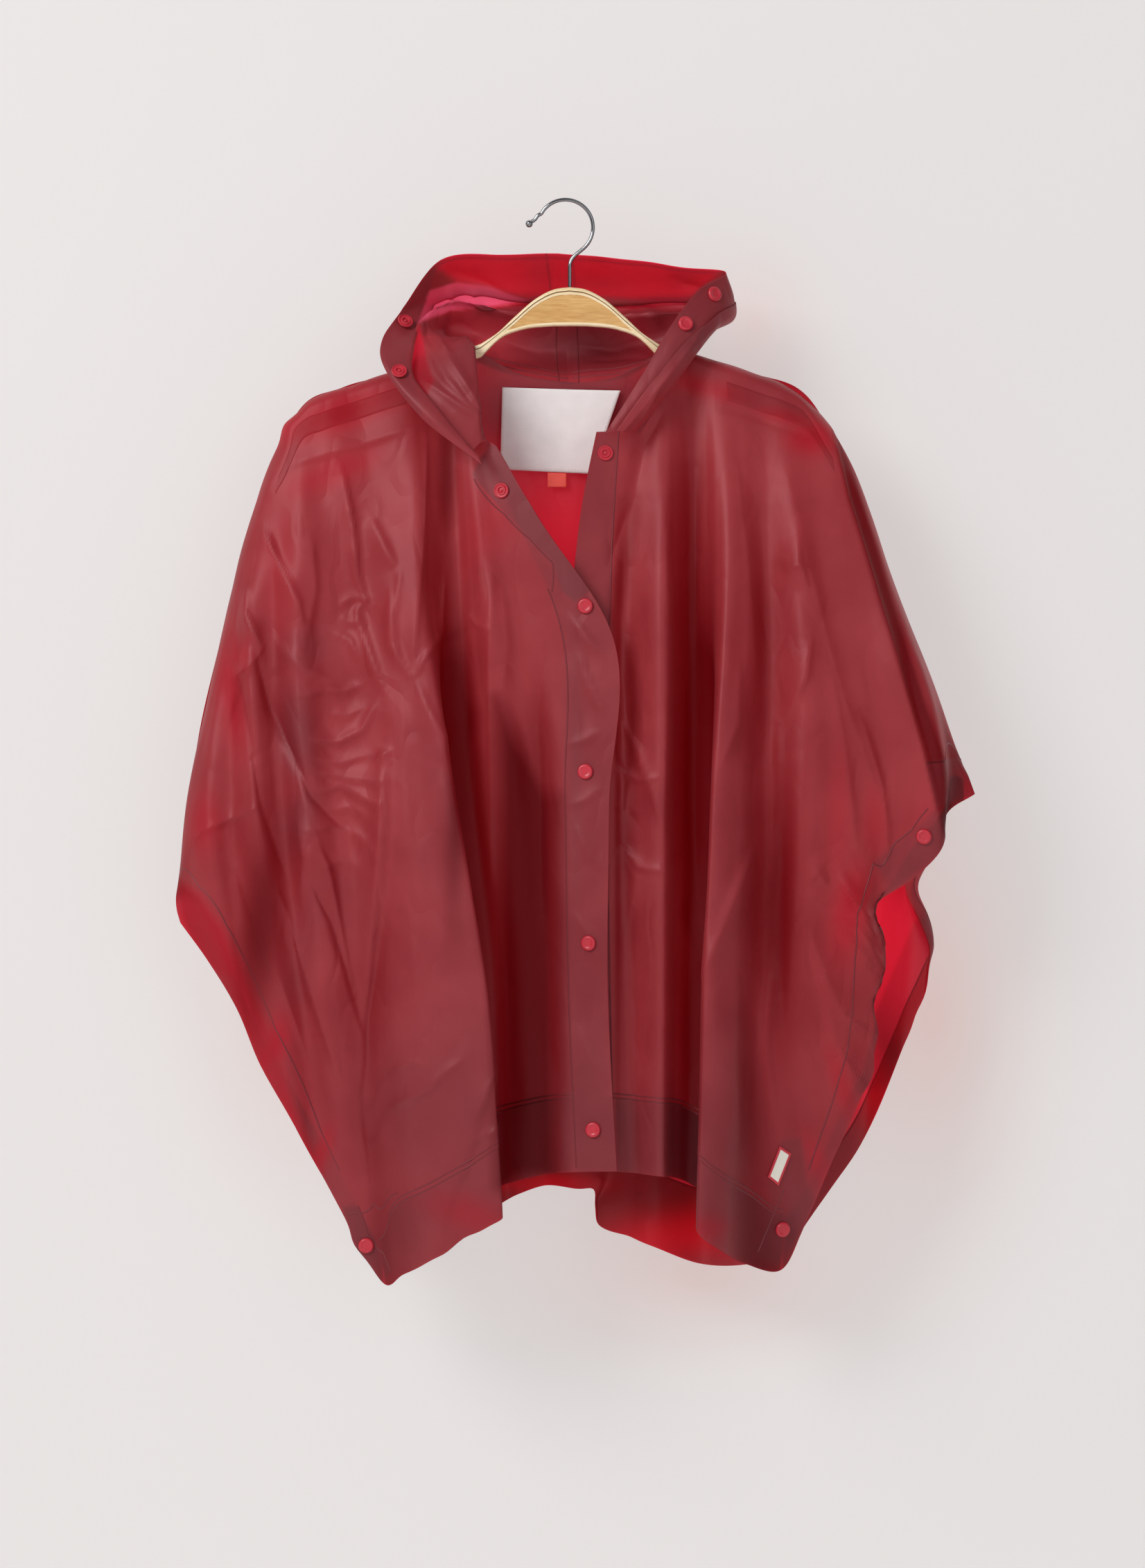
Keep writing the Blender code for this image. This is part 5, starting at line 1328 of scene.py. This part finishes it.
def label_sheet(corners, columns, rows, bow=0.0, wave=0.0):
    """A label between four corners; bow is how far its sides come forward, wave how much its foot waves."""
    top_left, top_right, bottom_right, bottom_left = (np.array(c, float) for c in corners)
    a = np.linspace(0, 1, columns + 1)[:, None, None]
    d = np.linspace(0, 1, rows + 1)[None, :, None]
    points = (top_left * (1 - a) + top_right * a) * (1 - d) + (bottom_left * (1 - a) + bottom_right * a) * d
    points[..., 1] -= bow * (2 * a[..., 0] - 1) ** 2
    points[..., 1] += wave * np.sin(5.1 * a[..., 0] + 1.2 * d[..., 0]) * d[..., 0]
    return Sheet(points, -1)


def dress_labels(left):
    columns, rows = NECK_LABEL_GRID
    neck = label_sheet(((-61, 22.8, -166), (46, 22.8, -169), (20, 28, -244), (-63, 28, -240)), columns, rows, 4, 0.5)
    label = add_piece("ribbon_neck_label", shell_mesh("ribbon_neck_label", neck, -RIBBON_HALF, RIBBON_HALF),
                      LABEL_FINISH, "satin", "neck_label")
    bm = bmesh.new()
    # down both sides, and along the lower edge
    stitches = [(across, down, (0, 0, 1)) for across in (0.025, 0.975) for down in np.linspace(0.06, 0.94, 22)]
    stitches += [(across, 0.96, (1, 0, 0)) for across in np.linspace(0.05, 0.95, 26)]
    for across, down, along in stitches:
        place, normal = at(neck, across * columns, down * rows)
        add_stitch(bm, place, normal, along, STITCH_LENGTH)
    mesh = finished_mesh("neck_label_stitches", bm)
    stitching = add_piece("neck_label_stitches", mesh, THREAD_FINISH, "satin")
    tab = label_sheet(((-20, 28, -242.9), (-3, 28, -243.4), (-3, 28.5, -256), (-20, 28.5, -256)), 16, 12, 0, 0.3)
    size_tab = add_piece("ribbon_size_tab", shell_mesh("ribbon_size_tab", tab, -RIBBON_HALF, RIBBON_HALF),
                         TAB_FINISH, "red_satin", "size_tab")
    corners = [seen_at(left, x, z) for x, z in ((188, -849), (198, -856), (187, -885), (177, -877))]
    columns, rows = BADGE_GRID
    side = label_sheet([place + normal * 1.4 for place, normal in corners], columns, rows, 0, 0.2)
    mesh = shell_mesh("badge_side", side, -0.5, 0.6)
    side_label = add_piece("badge_side", mesh, SNAP_FINISH, "red_satin", "side_label")
    mesh.materials.append(BADGE_FINISH)
    for i in range(BADGE_RIM, columns - BADGE_RIM):
        for j in range(BADGE_RIM, rows - BADGE_RIM):
            mesh.polygons[i * rows + j].material_index = 1
    return (label, [stitching]), (size_tab, []), (side_label, [])


def add_stitch(bm, place, normal, along, length):
    """One stitch: a small rounded bead of thread on a surface."""
    normal = Vector(normal).normalized()
    along = Vector(along)
    along = (along - normal * along.dot(normal)).normalized()
    side = normal.cross(along)
    centre = Vector(place) + normal * 0.3
    ring = []
    for t in np.linspace(-1, 1, 7):
        size = 0.28 * math.sqrt(max(0.0, 1 - t ** 4)) + 0.02
        ring.append([bm.verts.new((centre + along * (t * length / 2) + side * (size * math.cos(a))
                                   + normal * (size * math.sin(a))) * 0.001)
                     for a in np.linspace(0, math.tau, 8, endpoint=False)])
    for first, second in zip(ring, ring[1:]):
        for k in range(8):
            bm.faces.new((first[k], first[(k + 1) % 8], second[(k + 1) % 8], second[k]))


# ---------------------------------------------------------------- hanger

HANGER_ARM = 14.0
HANGER_REACH = 192.0
HANGER_CLEAR = 0.9
HOOK_WIRE = 1.75
HOOK_BEND = 25.0
HOOK_CENTRE_X = -4.0
HOOK_BALL = 3.4


def arm_top(x):
    """Height of the hanger's arm, just under the cloth."""
    return SHOULDER_Z - SHOULDER_SLOPE * (x - SHOULDER_START) - WALL - HANGER_CLEAR


# The hanger's section, from the middle of its upper edge down its front: distance from the upper edge,
# or from the lower one where it counts below 0, and depth. The rail has a groove; the panel lies lower.
HANGER_FACE = ((0.0, 0.0), (0.0, 2.6), (0.35, 4.4), (1.3, 5.6), (2.3, 6.0), (3.2, 6.0), (3.5, 5.3), (4.0, 5.3),
               (4.3, 6.0), (6.6, 6.0), (7.0, 5.5))
HANGER_FOOT = ((-3.4, 5.5), (-3.1, 6.0), (-1.4, 6.0), (-0.4, 5.2), (0.0, 3.0), (0.0, 0.0))
PANEL_END = 58.0           # the panel runs this far from the hanger's middle
PANEL_DEPTH, RAIL_DEPTH = 5.5, 6.0
HANGER_FULL = 12.0         # where the hanger is lower than this, its section shrinks with it


def hanger_edges(x):
    """Heights of the hanger's upper and lower edges at a distance from its middle."""
    far = abs(x)
    upper = smooth_curve((0, 14, 30, 50, 65, 80), (-77, -79, -87, -104, -118, arm_top(80)), [min(far, 80)])[0]
    lower = smooth_curve((0, 20, 45, 62, 80), (-112, -112.5, -116, -123, arm_top(80) - HANGER_ARM + 2),
                         [min(far, 80)])[0]
    if far > 80:
        upper, lower = arm_top(far), arm_top(far) - HANGER_ARM + 2
    return upper, lower


def dress_hanger():
    stations = np.concatenate([np.linspace(-HANGER_REACH, -80, 24)[:-1], np.linspace(-80, 80, 97),
                               np.linspace(80, HANGER_REACH, 24)[1:]])
    sections = []
    for x in stations:
        upper, lower = hanger_edges(x)
        end = math.sqrt(max(0.02, 1 - max(0.0, (abs(x) - HANGER_REACH + 6) / 6) ** 2))
        upper, lower = (upper + lower) / 2 + (upper - lower) / 2 * end, (upper + lower) / 2 - (upper - lower) / 2 * end
        between = PANEL_DEPTH if abs(x) < PANEL_END else RAIL_DEPTH
        front, foot = ([(edge - distance * min(1.0, (upper - lower) / HANGER_FULL),
                         between if depth == PANEL_DEPTH else depth) for distance, depth in profile]
                       for edge, profile in ((upper, HANGER_FACE), (lower, HANGER_FOOT)))
        middle_top = front[-1][0]
        for part in (0.33, 0.66):
            front.append((middle_top * (1 - part) + foot[0][0] * part, between))
        front += foot
        front = [(z, depth * end) for z, depth in front]
        section = [(x, -depth, z) for z, depth in front] + [(x, depth, z) for z, depth in front[-2:0:-1]]
        sections.append(section)
    points = np.array(sections).transpose(1, 0, 2)
    mesh = grid_mesh("turned_hanger", points, 1, closed=True)
    hanger = add_piece("turned_hanger", mesh, RAIL_WOOD, "wood", "hanger_wood")
    mesh.materials.append(PANEL_WOOD)
    mesh.materials.append(SHADED_GROOVE_WOOD)
    for face in mesh.polygons:
        x, y, z = face.center * 1000
        upper, lower = hanger_edges(x)
        if abs(x) < PANEL_END and upper - 6.8 > z > lower + 3.2:
            face.material_index = 1
        # the groove's faces get the darker wood, as painted shade
        elif y < -5 and 3.15 < (upper - z) / min(1.0, (upper - lower) / HANGER_FULL) < 4.2:
            face.material_index = 2
    mesh.set_sharp_from_angle(angle=math.radians(35))
    return hanger


def hook_path():
    bend_z = HOOK_WIRE - math.sqrt((HOOK_BEND - HOOK_WIRE) ** 2 - HOOK_CENTRE_X ** 2) - HOOK_WIRE
    points = [(-33.6, -17.4), (-31, -15.4), (-28.8, -12.3)]
    for angle in range(150, -51, -10):
        turn = math.radians(angle)
        points.append((HOOK_CENTRE_X + HOOK_BEND * math.cos(turn), bend_z + HOOK_BEND * math.sin(turn)))
    return points + [(4.5, -48.5), (1.2, -53), (0, -58), (0, -64), (0, -70), (0, -76.5)]


def dress_hook():
    path = np.array(hook_path(), float)
    smooth = smooth_curve(range(len(path)), path, np.linspace(0, len(path) - 1, (len(path) - 1) * 6 + 1))
    run = np.gradient(smooth, axis=0)
    run /= np.linalg.norm(run, axis=1, keepdims=True)
    turns = np.linspace(0, math.tau, 24, endpoint=False)
    points = np.stack([
        smooth[None, :, 0] + HOOK_WIRE * np.cos(turns)[:, None] * -run[None, :, 1],
        np.broadcast_to(HOOK_WIRE * np.sin(turns)[:, None], (24, len(smooth))),
        smooth[None, :, 1] + HOOK_WIRE * np.cos(turns)[:, None] * run[None, :, 0]], axis=-1)
    add_piece("bent_hook", grid_mesh("bent_hook", points, -1, closed=True), CHROME_FINISH, "chrome",
              "hanger_hook")
    tip, before = Vector((*path[0], 0)), Vector((*path[1], 0))
    away = (tip - before).normalized()
    profile = [(HOOK_BALL * math.sin(a), HOOK_BALL * math.cos(a)) for a in np.linspace(0.0001, math.pi - 0.45, 18)]
    profile += [(HOOK_WIRE * 1.05, -HOOK_BALL - 0.2), (HOOK_WIRE * 1.02, -HOOK_BALL - 0.6)]
    mesh = lathe("hook_tip", profile, 40)
    centre = tip + away * (HOOK_BALL + 0.3)
    turn = Vector((away.x, 0, away.y)).to_track_quat("Z", "Y").to_matrix().to_4x4()
    mesh.transform(Matrix.Translation(mm(centre.x, 0, centre.y)) @ turn)
    add_piece("hook_tip", mesh, CHROME_FINISH, "chrome", "hook_ball")


# ---------------------------------------------------------------- studio

def stage_plane(name, corners, finish):
    mesh = bpy.data.meshes.new(name)
    mesh.from_pydata([mm(*corner) for corner in corners], [], [(0, 1, 2, 3)])
    mesh.materials.append(finish)
    plane = add_object(name, mesh)
    return plane


# Where a pink glow is painted on the wall behind the poncho, as if by light through the film: middle (x, z), half
# sizes, in metres, and strength.
WALL_GLOWS = ((0.335, -0.74, 0.16, 0.34, 0.9), (0.12, -0.98, 0.30, 0.13, 0.7), (0.17, -0.10, 0.10, 0.12, 0.6),
              (-0.27, -0.76, 0.14, 0.24, 0.35))


def shown(finish):
    """A finish's nodes, its output, and the shader that it shows so far."""
    tree = finish.node_tree
    output = next(n for n in tree.nodes if n.type == "OUTPUT_MATERIAL")
    return tree, output, output.inputs["Surface"].links[0].from_socket


def bright(finish, colour, share):
    """A backdrop that studio lamps outside the scene light too: this share of it is even light, with pink glows painted
    in.
    """
    tree, output, surface = shown(finish)
    place = node(tree, "TexCoord").outputs["Object"]
    glow = colour
    # painted light: pink glows blended into the wall's even light
    for x, z, half_x, half_z, strength in WALL_GLOWS:
        near = node(tree, "Mapping", {"Vector": place, "Location": (-x / half_x, 0, -z / half_z),
                                      "Scale": (1 / half_x, 0, 1 / half_z)}).outputs["Vector"]
        amount = node(tree, "TexGradient", {"Vector": near}, gradient_type="QUADRATIC_SPHERE").outputs["Fac"]
        glow = blended(tree, math_node(tree, "MULTIPLY", amount, strength), glow, GLOW_COLOUR)
    lamp = node(tree, "Emission", {"Color": glow, "Strength": 1.0})
    show_mixed(tree, share, surface, lamp.outputs[0], output)
    return finish


def one_sided(finish):
    """The finish on its front only: from behind, the wall isn't there."""
    tree, output, surface = shown(finish)
    behind = node(tree, "NewGeometry").outputs["Backfacing"]
    show_mixed(tree, behind, surface, node(tree, "BsdfTransparent").outputs[0], output)
    return finish


def area_light(name, place, target, size, power, colour=(1, 1, 1)):
    data = bpy.data.lights.new(name, "AREA")
    data.shape = "RECTANGLE"
    data.size, data.size_y = size
    data.energy = power
    data.color = colour
    light = add_object(name, data)
    light.location = Vector(place)
    light.rotation_euler = (Vector(target) - Vector(place)).to_track_quat("-Z", "Y").to_euler()


WALL_COLOUR, WALL_SHARE = (0.80, 0.775, 0.765), 0.64    # the wall's even light, and how much of it is that
WALL_Y = 115.0
FLOOR_Z = -1300.0
CAMERA_AWAY = 6.0
VIEW_HEIGHT = 1.4144       # metres that the photograph's height spans at the hanger
VIEW_CENTRE = (0.0025, -0.525)


def build_studio():
    wall_finish = one_sided(bright(WALL_FINISH, WALL_COLOUR, WALL_SHARE))
    wall = stage_plane("studio_wall", ((-6000, WALL_Y, FLOOR_Z), (6000, WALL_Y, FLOOR_Z),
                                       (6000, WALL_Y, 4000), (-6000, WALL_Y, 4000)), wall_finish)
    wall.visible_shadow = False
    stage_plane("studio_floor", ((-6000, 6000, FLOOR_Z), (-6000, -6000, FLOOR_Z),
                                 (6000, -6000, FLOOR_Z), (6000, 6000, FLOOR_Z)), FLOOR_FINISH)
    middle = (0, 0, -0.5)
    area_light("key", (-2.25, -2.85, 1.6), middle, (1.7, 1.8), 114, (1.0, 0.985, 0.975))
    area_light("fill", (1.6, -4.2, 0.4), middle, (3.0, 3.0), 34, (0.97, 0.98, 1.0))
    area_light("behind", (0.5, 1.9, 0.3), middle, (2.2, 2.2), 44)
    world = bpy.data.worlds.new("studio")
    world.use_nodes = True
    world.node_tree.nodes["Background"].inputs["Color"].default_value = (0.9, 0.9, 0.92, 1)
    world.node_tree.nodes["Background"].inputs["Strength"].default_value = 0.22
    bpy.context.scene.world = world
    data = bpy.data.cameras.new("camera")
    data.lens = 36 * CAMERA_AWAY / VIEW_HEIGHT
    data.sensor_width = 36
    data.sensor_fit = "AUTO"
    data.clip_end = 50
    camera = add_object("camera", data)
    camera.location = (VIEW_CENTRE[0], -CAMERA_AWAY, VIEW_CENTRE[1])
    camera.rotation_euler = (math.radians(90), 0, 0)
    bpy.context.scene.camera = camera
    bpy.context.scene.view_settings.view_transform = "Standard"


def main():
    build_studio()
    right, left, back = build_panels()
    film_right, on_right = dress_front_right(right)
    film_left, on_left = dress_front_left(left)
    film_back, on_back = dress_back(back)
    on_right.append(dress_shoulder("welded_shoulder_right", right, FRONT_RIGHT, "arm valley", "lapping edge",
                                   "shoulder_tape_right", LIT_RIGHT))
    on_left.append(dress_shoulder("welded_shoulder_left", left, FRONT_LEFT, "lapping edge", "arm flank",
                                  "shoulder_tape_left", LIT_LEFT))
    hoods, hood_pieces = dress_hood()
    dress_snaps(right, left, back, hoods)
    labels = dress_labels(left)
    hanger = dress_hanger()
    dress_hook()


main()
